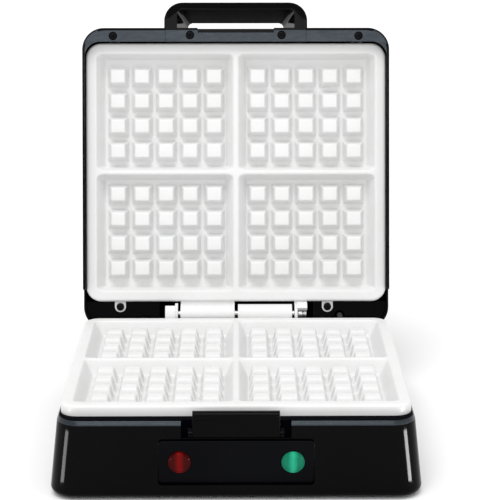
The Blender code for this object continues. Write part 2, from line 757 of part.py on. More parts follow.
def front_wall_cuts():
    recess = lay_on_front(panel_shape("recess", PANEL_GAP, -PANEL_RECESS, 5 * MM), PANEL_DROP)
    cuts = [recess]
    for x in (-LENS_X, LENS_X):
        radius = LENS_SKIRT_RADIUS + PANEL_GAP
        cuts.append(lay_on_front(prism("lamp_hole", circle(x, 0, radius), -8 * MM, 5 * MM), PANEL_DROP))
    return cuts


def gland_hole():
    radius = GLAND_BODY_RADIUS + SEAT_GAP
    ends = [(GLAND_X, SHELL_REAR + reach, -GLAND_DROP) for reach in (-3 * SHELL_WALL, 3 * SHELL_WALL)]
    return rod("gland_hole", *ends, radius)


def latch_rod(name, overrun, radius):
    """Round bar along the latch's axis, from cheek to cheek and overrun beyond."""
    reach = LATCH_HALF_WIDTH + LATCH_SIDE_CLEARANCE + LATCH_CHEEK + overrun
    ends = [(x, LATCH_PIN_Y, -LATCH_PIN_DROP) for x in (-reach, reach)]
    return rod(name, *ends, radius, SMALL_CIRCLE_STEPS)


def latch_pin_hole():
    return latch_rod("hole", MM, LATCH_PIN_RADIUS + RUNNING_CLEARANCE)


def base_shell():
    shell = base_body()
    cut(shell, base_hollow())
    join(shell, latch_backing(), *base_pillars(), *base_ear_bosses())
    cut(shell, plate_opening(-BASE_RIM_DROP - RIM_DECK - MM, MM), rear_notch(), latch_recess())
    cut(shell, *front_wall_cuts())
    join(shell, *latch_cheeks())
    return cut(shell, latch_pin_hole(), gland_hole(), *cover_screw_holes(), *base_ear_screw_holes())


def foot_places():
    front = SHELL_FRONT + 2 * SHELL_CORNER
    rear = SHELL_REAR - 1.4 * SHELL_CORNER
    return four_corners(SHELL_HALF - 2 * SHELL_CORNER, front, rear)


def bottom_cover():
    inset = SHELL_WALL + BASE_BOTTOM_ROUND * 0.8 + 2 * SEAT_GAP
    low = BASE_BOTTOM + COVER_RAISE
    high = BASE_BOTTOM + COVER_THICKNESS
    cover = prism("bottom_cover", base_outline(BASE_BOTTOM, inset), low, high)
    shapes = []
    for radius, places in ((SCREW_RADIUS, pillar_places()), (FOOT_PLUG_RADIUS, foot_places())):
        shapes += [circle(x, y, radius + SEAT_GAP, SMALL_CIRCLE_STEPS) for x, y in places.values()]
    half_x = VENT_LENGTH / 2
    half_y = VENT_WIDTH / 2
    for row in range(VENT_COUNT):
        y = PLATE_MIDDLE + (row - (VENT_COUNT - 1) / 2) * VENT_PITCH
        shapes.append(rounded_rectangle(-half_x, half_x, y - half_y, y + half_y, half_y * 0.9, 2))
    return cut(cover, *[prism("hole", shape, low - MM, high + MM) for shape in shapes])


def foot(name, x, y):
    low = -HINGE_HEIGHT
    seat = BASE_BOTTOM + COVER_RAISE - SEAT_GAP
    top = BASE_BOTTOM + COVER_THICKNESS + 2 * MM
    profile = [(0, low), (FOOT_RADIUS - MM, low), (FOOT_RADIUS, low + MM), (FOOT_RADIUS, seat),
               (FOOT_PLUG_RADIUS, seat), (FOOT_PLUG_RADIUS, top), (0, top)]
    return turn_mesh(lathe(name, profile), Matrix.Translation((x, y, 0)))


def cord_gland():
    """Bush in the rear wall that a mains lead would pass through."""
    face = SEAT_GAP + GLAND_FLANGE_THICKNESS
    back = -GLAND_INSIDE
    profile = [(GLAND_BORE_RADIUS, back), (GLAND_BODY_RADIUS, back), (GLAND_BODY_RADIUS, SEAT_GAP),
               (GLAND_FLANGE_RADIUS, SEAT_GAP), (GLAND_FLANGE_RADIUS - MM, face), (GLAND_BORE_RADIUS, face)]
    body = turn_mesh(lathe("cord_gland", profile), Matrix.Rotation(-math.pi / 2, 4, "X"))
    return turn_mesh(body, Matrix.Translation((GLAND_X, SHELL_REAR, -GLAND_DROP)))


# ---------------------------------------------------------------- latch

def front_latch():
    """Upright tab with a rearward nose, drawn in side view and run across its width."""
    top = -LATCH_TOP_DROP
    low = -LATCH_BOTTOM_DROP
    neck = LATCH_FACE + LATCH_NECK_THICKNESS
    nose = neck + LATCH_NOSE_REACH
    under = top - LATCH_NOSE_HEIGHT
    edge = LATCH_EDGE_ROUND
    outline = [(LATCH_FACE + edge, low), (neck - edge, low), (neck, low + edge), (neck, under), (nose, under),
               (nose, top - edge), (nose - edge, top), (LATCH_FACE + 2.6 * edge, top - 0.7 * edge),
               (LATCH_FACE + 0.7 * edge, top - 2.4 * edge), (LATCH_FACE, top - 5 * edge),
               (LATCH_FACE, low + edge)]
    body = prism_along_x("front_latch", outline, -LATCH_HALF_WIDTH, LATCH_HALF_WIDTH)
    return cut(body, latch_pin_hole())


def latch_pin():
    return latch_rod("latch_pin", 0, LATCH_PIN_RADIUS)


# ---------------------------------------------------------------- control panel and lamps

def control_panel():
    seat = -PANEL_RECESS + PANEL_GAP
    panel = panel_shape("control_panel", 0, seat, seat + PANEL_THICKNESS)
    for x in (-LENS_X, LENS_X):
        cut(panel, prism("hole", circle(x, 0, LENS_RADIUS + PANEL_GAP), -5 * MM, 5 * MM))
    return lay_on_front(panel, PANEL_DROP)


def lens(name, x):
    """Domed lamp cover with a hollow skirt that passes through the front wall."""
    seat = -PANEL_RECESS + PANEL_GAP
    rim = seat + PANEL_THICKNESS
    inner = LENS_SKIRT_RADIUS - LENS_SKIRT_WALL
    profile = [(0, seat), (inner, seat), (inner, -LENS_SKIRT_LENGTH), (LENS_SKIRT_RADIUS, -LENS_SKIRT_LENGTH),
               (LENS_SKIRT_RADIUS, seat), (LENS_RADIUS, seat), (LENS_RADIUS, rim)]
    profile += [(LENS_RADIUS * math.cos(a), rim + LENS_DOME * math.sin(a)) for a in (0.5, 1.0)]
    profile.append((0, rim + LENS_DOME))
    body = turn_mesh(lathe(name, profile), Matrix.Translation((x, 0, 0)))
    return lay_on_front(body, PANEL_DROP)


def lamp(name, x):
    """Small glow lamp that stands in its lens skirt."""
    front = -PANEL_RECESS - 1.5 * MM
    back = front - LAMP_LENGTH
    profile = [(0, back), (LAMP_RADIUS, back), (LAMP_RADIUS, front - 2 * MM),
               (LAMP_RADIUS * 0.6, front - 0.5 * MM), (0, front)]
    body = turn_mesh(lathe(name, profile, SMALL_CIRCLE_STEPS), Matrix.Translation((x, 0, 0)))
    return lay_on_front(body, PANEL_DROP)


# ---------------------------------------------------------------- hinge

def hinge_pin():
    reach = WEB_INNER + WEB_THICKNESS + NUT_LENGTH
    return rod("hinge_pin", (-reach, 0, 0), (reach, 0, 0), PIN_RADIUS)


def hinge_nut(name, side):
    """Round nut with a groove, on the end of the hinge pin."""
    bore = PIN_RADIUS + SEAT_GAP
    length = NUT_LENGTH
    profile = [(bore, 0), (NUT_RADIUS - 0.4 * MM, 0), (NUT_RADIUS, 0.4 * MM), (NUT_RADIUS, length * 0.5),
               (NUT_RADIUS - 0.9 * MM, length * 0.55), (NUT_RADIUS - 0.9 * MM, length * 0.68),
               (NUT_RADIUS - 0.3 * MM, length * 0.73), (NUT_RADIUS - 0.3 * MM, length - 0.6 * MM),
               (NUT_RADIUS - 0.9 * MM, length), (bore, length)]
    body = turn_mesh(lathe(name, profile), Matrix.Rotation(side * math.pi / 2, 4, "Y"))
    start = side * (WEB_INNER + WEB_THICKNESS + SEAT_GAP)
    return turn_mesh(body, Matrix.Translation((start, 0, 0)))


# ---------------------------------------------------------------- lid

def lid_outline(inset):
    return rounded_rectangle(-SHELL_HALF + inset, SHELL_HALF - inset, SHELL_FRONT + inset, SHELL_REAR - inset,
                             SHELL_CORNER - inset * 0.35)


def lid_levels(shrink):
    """Outlines of the lid above its rim; shrink gives the inside of its wall."""
    crown = LID_CROWN - shrink
    levels = [(lid_outline(LID_DRAFT + shrink), LID_STRAIGHT_TOP)]
    for angle in CROWN_ANGLES:
        bend = math.radians(angle)
        inset = LID_DRAFT + LID_SHOULDER * (1 - math.cos(bend)) + shrink
        levels.append((lid_outline(inset), LID_STRAIGHT_TOP + crown * math.sin(bend)))
    return levels


def lid_body():
    rim = [(lid_outline(LID_LIP), LID_RIM), (lid_outline(0), LID_RIM + LID_LIP)]
    return loft("lid_shell", rim + lid_levels(0))


def lid_hollow():
    low = LID_RIM + RIM_DECK + 0.4 * MM
    return loft("hollow", [(lid_outline(SHELL_WALL), low)] + lid_levels(SHELL_WALL))


def lid_rear_step():
    """Raised rear edge of the lid, which clears the base as the lid opens."""
    reach = SHELL_HALF + 5 * MM
    return box("step", -reach, reach, LID_STEP_START, SHELL_REAR + 5 * MM, LID_RIM - 5 * MM, LID_STEP_HEIGHT)


def lid_ear_places():
    return [(-x, REAR_EAR_Y) for x in REAR_EAR_X]


def lid_rear_decks():
    """Shelves behind the plate that its rear ears are screwed to."""
    low = -REAR_EAR_FACE + EAR_THICKNESS + SEAT_GAP
    inset = SHELL_WALL / 2
    rear = SHELL_REAR - inset
    parts = []
    for side in (-1, 1):
        xs = sorted((side * LUG_OPENING, side * (SHELL_HALF - inset)))
        parts.append(box("deck", *xs, PLATE_REAR + SEAT_GAP, rear, low, low + DECK_THICKNESS))
    for x, y in lid_ear_places():
        column = circle(x, y + SEAT_GAP, BOSS_RADIUS, SMALL_CIRCLE_STEPS)
        parts.append(prism("boss", column, low, low + 1.5 * SCREW_BITE))
    return parts


def lid_front_bosses():
    """Columns inside the front rim that reach back to the plate's front ears."""
    high = -PLATE_BACK - EAR_THICKNESS - SEAT_GAP
    return [prism("boss", circle(x, FRONT_EAR_Y, BOSS_RADIUS, SMALL_CIRCLE_STEPS), LID_RIM + MM, high)
            for x in (-FRONT_EAR_X, FRONT_EAR_X)]


def handle_opening():
    half = HANDLE_FLANGE_HALF_WIDTH + SEAT_GAP
    high = LID_RIM + FLANGE_THICKNESS + SEAT_GAP
    return box("handle_opening", -half, half, SHELL_FRONT - MM, OPENING_FRONT + MM, LID_RIM - MM, high)


def handle_bosses():
    """Columns tied to the lid's front wall that take the handle screws."""
    low = LID_RIM + FLANGE_THICKNESS + SEAT_GAP
    high = low + HANDLE_BOSS_HEIGHT
    wall = SHELL_FRONT + SHELL_WALL / 2
    parts = []
    for x in (-HANDLE_SCREW_X, HANDLE_SCREW_X):
        column = circle(x, FLANGE_SCREW_Y + MM, BOSS_RADIUS, SMALL_CIRCLE_STEPS)
        parts.append(prism("boss", column, low, high))
        parts.append(box("rib", x - RIB_THICKNESS, x + RIB_THICKNESS, wall, FLANGE_SCREW_Y, low, high))
    return parts


def lid_screw_holes():
    pilot = SCREW_RADIUS + SEAT_GAP
    deck = -REAR_EAR_FACE + EAR_THICKNESS
    holes = [prism("hole", circle(x, y, pilot, SMALL_CIRCLE_STEPS), deck - MM, deck + SCREW_BITE + 2 * MM)
             for x, y in lid_ear_places()]
    for x in (-FRONT_EAR_X, FRONT_EAR_X):
        shank = circle(x, FRONT_EAR_Y, pilot, SMALL_CIRCLE_STEPS)
        head = circle(x, FRONT_EAR_Y, SCREW_HEAD_RADIUS + SCREW_HOLE_CLEARANCE, SMALL_CIRCLE_STEPS)
        holes.append(prism("hole", shank, LID_RIM - MM, -PLATE_BACK))
        holes.append(prism("sink", head, LID_RIM - MM, LID_RIM + SCREW_HEAD_HEIGHT + SEAT_GAP))
    low = LID_RIM + FLANGE_THICKNESS
    for x in (-HANDLE_SCREW_X, HANDLE_SCREW_X):
        shank = circle(x, FLANGE_SCREW_Y, pilot, SMALL_CIRCLE_STEPS)
        holes.append(prism("hole", shank, low, low + SCREW_BITE + 3 * MM))
    return holes


def lead_hole():
    radius = LEAD_RADIUS + 2 * MM
    return prism("hole", circle(LEAD_X, 2 * MM, radius, SMALL_CIRCLE_STEPS), 5 * MM, 16 * MM)


def lid_shell():
    shell = lid_body()
    cut(shell, lid_hollow(), plate_opening(LID_RIM - MM, LID_RIM + 2 * RIM_DECK))
    join(shell, *lid_front_bosses())
    cut(shell, lid_rear_step(), handle_opening())
    join(shell, *lid_rear_decks(), *handle_bosses())
    return cut(shell, lead_hole(), *lid_screw_holes())


# ---------------------------------------------------------------- handle

def handle_outline(reach, half, lean):
    """Grip and posts at one level; the posts end just short of the lid's wall."""
    front = SHELL_FRONT - reach
    rear = SHELL_FRONT + lean - SEAT_GAP
    right = arc(half - HANDLE_CORNER, front + HANDLE_CORNER, HANDLE_CORNER, -math.pi / 2, 0, 6)
    left = arc(-half + HANDLE_CORNER, front + HANDLE_CORNER, HANDLE_CORNER, math.pi, 1.5 * math.pi, 6)
    return left + right + [(half, rear), (-half, rear)]


def handle_loop():
    ease = GRIP_EASE
    levels = [(LID_RIM, HANDLE_REACH - ease / 4, HANDLE_HALF_WIDTH, 0),
              (LID_RIM + LID_LIP, HANDLE_REACH, HANDLE_HALF_WIDTH, 0),
              (LID_STRAIGHT_TOP, HANDLE_REACH + ease, HANDLE_HALF_WIDTH - ease / 4, 0),
              (HANDLE_TOP - ease, HANDLE_REACH + ease, HANDLE_HALF_WIDTH - ease / 2,
               HANDLE_TOP_LEAN * (1 - ease / (HANDLE_TOP - LID_STRAIGHT_TOP))),
              (HANDLE_TOP, HANDLE_REACH - ease / 4, HANDLE_HALF_WIDTH - ease, HANDLE_TOP_LEAN)]
    sections = [(handle_outline(reach, half, lean), height) for height, reach, half, lean in levels]
    return loft("handle", sections)


def finger_hole():
    """Tapered gap between the grip and the lid, wider on the side that faces the base."""
    def outline(height):
        share = (height - LID_RIM) / (HANDLE_TOP - LID_RIM)
        half = HOLE_NEAR_HALF_WIDTH + (HOLE_FAR_HALF_WIDTH - HOLE_NEAR_HALF_WIDTH) * share
        grip = GRIP_NEAR_THICKNESS + (GRIP_FAR_THICKNESS - GRIP_NEAR_THICKNESS) * share
        rear = SHELL_FRONT + HANDLE_TOP_LEAN + 2 * MM
        return rounded_rectangle(-half, half, SHELL_FRONT - HANDLE_REACH + grip, rear, HOLE_CORNER, 4)
    low = LID_RIM - MM
    high = HANDLE_TOP + MM
    return loft("finger_hole", [(outline(low), low), (outline(high), high)])


def flange_block():
    half = HANDLE_FLANGE_HALF_WIDTH
    high = LID_RIM + FLANGE_THICKNESS
    parts = [box("flange", -half, half, SHELL_FRONT, OPENING_FRONT, LID_RIM, high)]
    for side in (-1, 1):
        xs = sorted((side * HOLE_NEAR_HALF_WIDTH, side * half))
        parts.append(box("neck", *xs, SHELL_FRONT - 4 * MM, SHELL_FRONT + 2 * MM, LID_RIM, high))
    return parts


def latch_pocket():
    """Mouth in the flange for the latch, with an undercut above it for the latch's nose."""
    half = LATCH_HALF_WIDTH + LATCH_SIDE_CLEARANCE * 2
    nose = LATCH_FACE + LATCH_NECK_THICKNESS + LATCH_NOSE_REACH
    mouth = nose + LATCH_MOUTH_CLEARANCE
    ceiling = -LATCH_TOP_DROP + 1 * MM
    ledge_top = -LATCH_TOP_DROP - LATCH_NOSE_HEIGHT - 0.8 * MM
    return [box("mouth", -half, half, SHELL_FRONT - MM, mouth, LID_RIM - MM, ceiling),
            box("undercut", -half, half, SHELL_FRONT - MM, mouth + LATCH_SWING, ledge_top, ceiling)]


def handle_screw_holes():
    shank = SCREW_RADIUS + SCREW_HOLE_CLEARANCE
    head = SCREW_HEAD_RADIUS + SCREW_HOLE_CLEARANCE
    holes = []
    for x in (-HANDLE_SCREW_X, HANDLE_SCREW_X):
        holes.append(prism("hole", circle(x, FLANGE_SCREW_Y, shank, SMALL_CIRCLE_STEPS), LID_RIM - MM,
                           LID_RIM + FLANGE_THICKNESS + MM))
        holes.append(prism("sink", circle(x, FLANGE_SCREW_Y, head, SMALL_CIRCLE_STEPS), LID_RIM - MM,
                           LID_RIM + SCREW_HEAD_HEIGHT + SEAT_GAP))
    return holes


def handle():
    grip = handle_loop()
    cut(grip, finger_hole())
    join(grip, *flange_block())
    return cut(grip, *latch_pocket(), *handle_screw_holes())


# ---------------------------------------------------------------- heating and wiring

def element_level():
    return PLATE_BACK - SEAT_GAP - ELEMENT_RADIUS


def element(name):
    """Tubular heater that follows the plate's border in one loop, with both ends at the rear."""
    half = ELEMENT_HALF_WIDTH
    front = PLATE_FRONT + ELEMENT_MARGIN
    rear = PLATE_REAR - ELEMENT_MARGIN
    bend = ELEMENT_BEND
    level = element_level()
    path = [(ELEMENT_TERMINAL_X, rear)]
    path += arc(half - bend, rear - bend, bend, math.pi / 2, 0, 5)
    path += arc(half - bend, front + bend, bend, 0, -math.pi / 2, 5)
    path += arc(-half + bend, front + bend, bend, 1.5 * math.pi, math.pi, 5)
    path += arc(-half + bend, rear - bend, bend, math.pi, math.pi / 2, 5)
    path.append((-ELEMENT_TERMINAL_X, rear))
    curve = bpy.data.curves.new(name, "CURVE")
    curve.dimensions = "3D"
    curve.bevel_depth = ELEMENT_RADIUS
    curve.bevel_resolution = 2
    curve.use_fill_caps = True
    spline = curve.splines.new("POLY")
    spline.points.add(len(path) - 1)
    for target, (x, y) in zip(spline.points, path):
        target.co = (x, y, level, 1)
    return add_object(name, curve)


def reflector(name):
    """Sheet-metal pan that throws the heat back at the plate."""
    half = PLATE_HALF - REFLECTOR_MARGIN
    high = PLATE_BACK - 2 * SEAT_GAP
    floor = element_level() - ELEMENT_RADIUS - SEAT_GAP
    sheet = REFLECTOR_SHEET

    def outline(inset):
        return rounded_rectangle(-half + inset, half - inset, PLATE_FRONT + REFLECTOR_MARGIN + inset,
                                 PLATE_REAR - REFLECTOR_MARGIN - inset, REFLECTOR_CORNER - inset, 3)
    pan = loft(name, [(outline(0), floor - sheet), (outline(0), high)])
    cut(pan, loft("inside", [(outline(sheet), floor), (outline(sheet), high + MM)]))
    holes = [prism("hole", circle(0, PLATE_MIDDLE, REFLECTOR_HOLE), floor - 5 * MM, high)]
    for x in (-WIRE_X, WIRE_X):
        outline = circle(x, PLATE_REAR - ELEMENT_MARGIN, 2.5 * WIRE_RADIUS, SMALL_CIRCLE_STEPS)
        holes.append(prism("hole", outline, floor - 5 * MM, floor + MM))
    return cut(pan, *holes)


def thermostat():
    """Disc thermostat with two blade terminals, against the middle of the lower plate."""
    high = PLATE_BACK - SEAT_GAP
    low = high - THERMOSTAT_HEIGHT
    radius = THERMOSTAT_RADIUS
    profile = [(0, low), (radius * 0.8, low), (radius, low + 2 * MM), (radius, high - MM),
               (radius * 0.9, high), (0, high)]
    body = turn_mesh(lathe("thermostat", profile), Matrix.Translation((0, PLATE_MIDDLE, 0)))
    wide = BLADE_WIDTH / 2
    ys = (PLATE_MIDDLE - BLADE_THICKNESS / 2, PLATE_MIDDLE + BLADE_THICKNESS / 2)
    for x in (-BLADE_SPACING / 2, BLADE_SPACING / 2):
        join(body, box("blade", x - wide, x + wide, *ys, low - BLADE_LENGTH, low + MM))
    return body


def thermal_fuse():
    level = element_level() - ELEMENT_RADIUS - REFLECTOR_SHEET - FUSE_BELOW_REFLECTOR
    ends = [(x, PLATE_MIDDLE + FUSE_BEHIND_MIDDLE, level) for x in (-FUSE_LENGTH / 2, FUSE_LENGTH / 2)]
    return rod("thermal_fuse", *ends, FUSE_RADIUS, SMALL_CIRCLE_STEPS)


def terminal_place():
    floor = BASE_BOTTOM + COVER_THICKNESS + SEAT_GAP
    return GLAND_X - TERMINAL_FROM_GLAND, PLATE_REAR - TERMINAL_FROM_PLATE_REAR, floor


def terminal_block():
    x, y, floor = terminal_place()
    half = TERMINAL_PITCH * 1.6
    top = floor + TERMINAL_HEIGHT
    deep = TERMINAL_DEPTH / 2
    block = box("terminal_block", x - half, x + half, y - deep, y + deep, floor, top)
    for column in (-TERMINAL_PITCH, 0, TERMINAL_PITCH):
        socket = circle(x + column, y, 2 * WIRE_RADIUS, SMALL_CIRCLE_STEPS)
        cut(block, prism("hole", socket, floor + 5 * MM, top + MM))
    return block


def element_wire(name, side):
    """Insulated wire from a socket of the terminal block to one end of the lower element."""
    x, y, floor = terminal_place()
    socket = x + side * TERMINAL_PITCH
    top = floor + TERMINAL_HEIGHT
    end_x = side * WIRE_X
    end_y = PLATE_REAR - ELEMENT_MARGIN
    points = [(socket, y, floor + 6 * MM), (socket, y, top), (socket - 6 * MM, y - 3 * MM, top + 6 * MM),
              (end_x + 16 * MM, end_y, top + 12 * MM), (end_x, end_y, element_level() - 11 * MM),
              (end_x, end_y, element_level())]
    return tube(name, points, WIRE_RADIUS, 1)


def lid_point(y, z):
    """Base-side place of a point of the lid, given where it is with the lid closed."""
    turn = Matrix.Rotation(-OPEN_ANGLE, 4, "X")
    return turn @ Vector((0, y, z))


def lid_lead():
    """Sleeved lead from the base past the hinge axis into the lid."""
    inside = lid_point(2 * MM, 15 * MM)
    gate = lid_point(2 * MM, 9.4 * MM)
    points = [(LEAD_X, -5.5 * MM, -34 * MM), (LEAD_X, -5.5 * MM, -16 * MM), (LEAD_X, -4.5 * MM, -7 * MM),
              (LEAD_X, 0.5 * MM, -2.6 * MM), (LEAD_X, gate.y, gate.z), (LEAD_X, inside.y, inside.z)]
    return tube("lid_lead", points, LEAD_RADIUS, 2)


# ---------------------------------------------------------------- assembly

def open_lid_reach():
    """How far behind the hinge the open lid comes, so that the object's middle can be the origin."""
    return max(y * math.cos(OPEN_ANGLE) + height * math.sin(OPEN_ANGLE)
               for outline, height in lid_levels(0) for x, y in outline)


def frames():
    base = bpy.data.objects.new("base_frame", None)
    base.location = (0, -(SHELL_FRONT - BASE_FRONT_FLARE + open_lid_reach()) / 2, HINGE_HEIGHT)
    lid = bpy.data.objects.new("lid_axis", None)
    lid.location = base.location
    lid.rotation_euler = (-OPEN_ANGLE, 0, 0)
    latch = bpy.data.objects.new("latch_axis", None)
    latch.location = (0, LATCH_PIN_Y, -LATCH_PIN_DROP)
    latch.parent = base
    for empty in (base, lid, latch):
        bpy.context.scene.collection.objects.link(empty)
    return base, lid, latch


def add_base(frame, finishes):
    dress(base_shell(), finishes["gloss_black"], frame)
    dress(bottom_cover(), finishes["matt_black"], frame)
    for corner, (x, y) in foot_places().items():
        dress(foot("foot_" + corner, x, y), finishes["rubber"], frame)
    cover_low = BASE_BOTTOM + COVER_RAISE
    for corner, (x, y) in pillar_places().items():
        bite = COVER_THICKNESS + SCREW_BITE
        dress(screw("cover_screw_" + corner, (x, y, cover_low), bite, False), finishes["steel"], frame)
    dress(cord_gland(), finishes["rubber"], frame)
    dress(control_panel(), finishes["panel"], frame)
    dress(lens("power_lens", -LENS_X), finishes["red_lens"], frame)
    dress(lens("ready_lens", LENS_X), finishes["green_lens"], frame)
    dress(lamp("power_lamp", -LENS_X), finishes["lamp_glass"], frame)
    dress(lamp("ready_lamp", LENS_X), finishes["lamp_glass"], frame)


def add_lower_plate(frame, finishes):
    dress(plate_casting("lower_plate"), finishes["ceramic"], frame)
    dress(element("lower_element"), finishes["element"], frame)
    dress(reflector("lower_reflector"), finishes["aluminium"], frame)
    dress(thermostat(), finishes["matt_black"], frame)
    dress(thermal_fuse(), finishes["lamp_glass"], frame)
    dress(terminal_block(), finishes["white_plastic"], frame)
    dress(element_wire("wire_left", -1), finishes["wire"], frame)
    dress(element_wire("wire_right", 1), finishes["wire"], frame)
    dress(lid_lead(), finishes["rubber"], frame)
    bite = EAR_THICKNESS + SCREW_BITE
    for name, x in zip(("lower_plate_screw_rear_right", "lower_plate_screw_rear_left"), REAR_EAR_X):
        dress(screw(name, (x, REAR_EAR_Y, REAR_EAR_FACE), bite), finishes["steel"], frame)
    length = 2 * SCREW_BITE + EAR_THICKNESS
    low = PLATE_BACK - SEAT_GAP - 2 * SCREW_BITE
    for label, x in (("left", -FRONT_EAR_X), ("right", FRONT_EAR_X)):
        name = "lower_plate_screw_front_" + label
        dress(screw(name, (x, FRONT_EAR_Y, low), length, False), finishes["steel"], frame)


def add_hinge(frame, finishes):
    dress(hinge_pin(), finishes["steel"], frame)
    dress(hinge_nut("hinge_nut_left", -1), finishes["steel"], frame)
    dress(hinge_nut("hinge_nut_right", 1), finishes["steel"], frame)


def add_lid(frame, finishes):
    dress(lid_shell(), finishes["gloss_black"], frame)
    dress(flip_to_lid(plate_casting("upper_plate")), finishes["ceramic"], frame)
    upper = element("upper_element")
    upper.rotation_euler = (0, math.pi, 0)
    dress(upper, finishes["element"], frame)
    dress(flip_to_lid(reflector("upper_reflector")), finishes["aluminium"], frame)
    dress(handle(), finishes["gloss_black"], frame)
    for label, (x, y) in zip(("left", "right"), lid_ear_places()):
        seat = (x, y, -REAR_EAR_FACE)
        name = "upper_plate_screw_rear_" + label
        dress(screw(name, seat, EAR_THICKNESS + SCREW_BITE, False), finishes["steel"], frame)
    sunk = LID_RIM + SCREW_HEAD_HEIGHT + SEAT_GAP
    bite = FLANGE_THICKNESS - SCREW_HEAD_HEIGHT + SCREW_BITE
    for side, label in ((-1, "left"), (1, "right")):
        seat = (side * FRONT_EAR_X, FRONT_EAR_Y, sunk)
        name = "upper_plate_screw_front_" + label
        dress(screw(name, seat, -PLATE_BACK - sunk, False), finishes["dark_steel"], frame)
        seat = (side * HANDLE_SCREW_X, FLANGE_SCREW_Y, sunk)
        dress(screw("handle_screw_" + label, seat, bite, False), finishes["dark_steel"], frame)


def add_latch(base, latch_frame, finishes):
    tab = front_latch()
    tab.data.transform(Matrix.Translation(-latch_frame.location))
    dress(tab, finishes["gloss_black"], latch_frame)
    dress(latch_pin(), finishes["steel"], base)


def main():
    clear_scene()
    finishes = {
        "gloss_black": material("gloss_black", (0.012, 0.012, 0.014), 0.18),
        "matt_black": material("matt_black", (0.03, 0.03, 0.032), 0.6),
        "ceramic": material("ceramic", (0.82, 0.81, 0.78), 0.4),
        "panel": material("panel", (0.012, 0.014, 0.03), 0.25),
        "red_lens": material("red_lens", (0.35, 0.004, 0.006), 0.15),
        "green_lens": material("green_lens", (0.01, 0.3, 0.14), 0.15),
        "lamp_glass": material("lamp_glass", (0.8, 0.75, 0.7), 0.1),
        "steel": material("steel", (0.6, 0.6, 0.6), 0.3, 1.0),
        "dark_steel": material("dark_steel", (0.05, 0.05, 0.055), 0.4, 1.0),
        "aluminium": material("aluminium", (0.75, 0.75, 0.74), 0.35, 1.0),
        "element": material("element", (0.12, 0.13, 0.12), 0.5, 1.0),
        "rubber": material("rubber", (0.02, 0.02, 0.02), 0.85),
        "white_plastic": material("white_plastic", (0.75, 0.74, 0.7), 0.5),
        "wire": material("wire", (0.55, 0.53, 0.5), 0.6),
    }
    base, lid, latch = frames()
    add_base(base, finishes)
    add_lower_plate(base, finishes)
    add_hinge(base, finishes)
    add_latch(base, latch, finishes)
    add_lid(lid, finishes)


main()
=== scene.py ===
"""Looks for the open waffle maker: finer meshes, materials, studio and camera.

Shapes are drawn in hinge coordinates (origin on the hinge axis, lid closed) and then put into
the row frame, so that every piece sits where the CAD has it.
"""
import json
import math

import bmesh
import bpy
import numpy as np
from mathutils import Matrix, Vector


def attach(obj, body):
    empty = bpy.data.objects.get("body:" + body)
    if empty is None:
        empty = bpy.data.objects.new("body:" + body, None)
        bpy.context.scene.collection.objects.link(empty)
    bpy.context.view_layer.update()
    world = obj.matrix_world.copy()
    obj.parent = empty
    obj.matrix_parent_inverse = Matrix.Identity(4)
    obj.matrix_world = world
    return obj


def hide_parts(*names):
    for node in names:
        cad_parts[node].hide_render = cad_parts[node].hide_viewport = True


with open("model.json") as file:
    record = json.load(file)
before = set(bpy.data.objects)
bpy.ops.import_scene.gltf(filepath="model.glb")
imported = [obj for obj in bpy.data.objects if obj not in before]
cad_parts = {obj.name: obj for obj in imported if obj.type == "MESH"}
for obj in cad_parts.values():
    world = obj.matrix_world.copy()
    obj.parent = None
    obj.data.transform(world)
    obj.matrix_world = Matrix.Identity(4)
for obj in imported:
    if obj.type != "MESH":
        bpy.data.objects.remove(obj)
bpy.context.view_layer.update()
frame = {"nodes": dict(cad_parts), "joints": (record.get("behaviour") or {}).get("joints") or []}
MM = 0.001
JOINTS = {joint["name"]: joint for joint in frame["joints"]}
HINGE = Vector(JOINTS["lid_hinge"]["pos_m"])
OPEN_ANGLE = math.radians(JOINTS["lid_hinge"]["range_deg"][1])
BASE_PLACE = Matrix.Translation(HINGE)
LID_PLACE = Matrix.Translation(HINGE) @ Matrix.Rotation(-OPEN_ANGLE, 4, "X")
FLIP = Matrix.Rotation(math.pi, 4, "Y")

PLATE_HALF = 140 * MM
PLATE_REAR = -11.5 * MM
PLATE_FRONT = -252.8 * MM
PLATE_MIDDLE = (PLATE_REAR + PLATE_FRONT) / 2
PLATE_HALF_DEPTH = (PLATE_REAR - PLATE_FRONT) / 2
FACE = -0.2 * MM
PLATE_BACK = -17.7 * MM
CAVITY_DEPTH = 14 * MM
PEG_TOP = -2.7 * MM
PLATE_CORNER = 14 * MM
SHELL_HALF = 142.6 * MM
SHELL_CORNER = 20 * MM
SHELL_FRONT = -266 * MM
SHELL_REAR = 14 * MM
BASE_RIM = -9 * MM
BASE_BOTTOM = HINGE.z * -1 + 2.5 * MM
LID_RIM = -8.4 * MM
WALL = 2.2 * MM
LENS_X = 44.8 * MM
BORE_RADIUS = 3.1 * MM
LUG_FRONT = PLATE_REAR - 3 * MM
EAR_HALF = 5.1 * MM
REAR_EAR_XS = (108.6 * MM, -85.4 * MM)
REAR_EAR_Y = -6.5 * MM
FRONT_EAR_XS = (114 * MM, -114 * MM)
FRONT_EAR_Y = -258.5 * MM
HANDLE_SCREW_XS = (-42.5 * MM, 42.5 * MM)
HANDLE_SCREW_Y = -259.3 * MM
SCREW_HOLE = 2.1 * MM
SCREW_SEAT = 4.2 * MM
SINK_RADIUS = 4 * MM
SINK_SEAT = LID_RIM + 2.3 * MM
BOSS_RADIUS = 4.5 * MM


# ---------------------------------------------------------------- camera

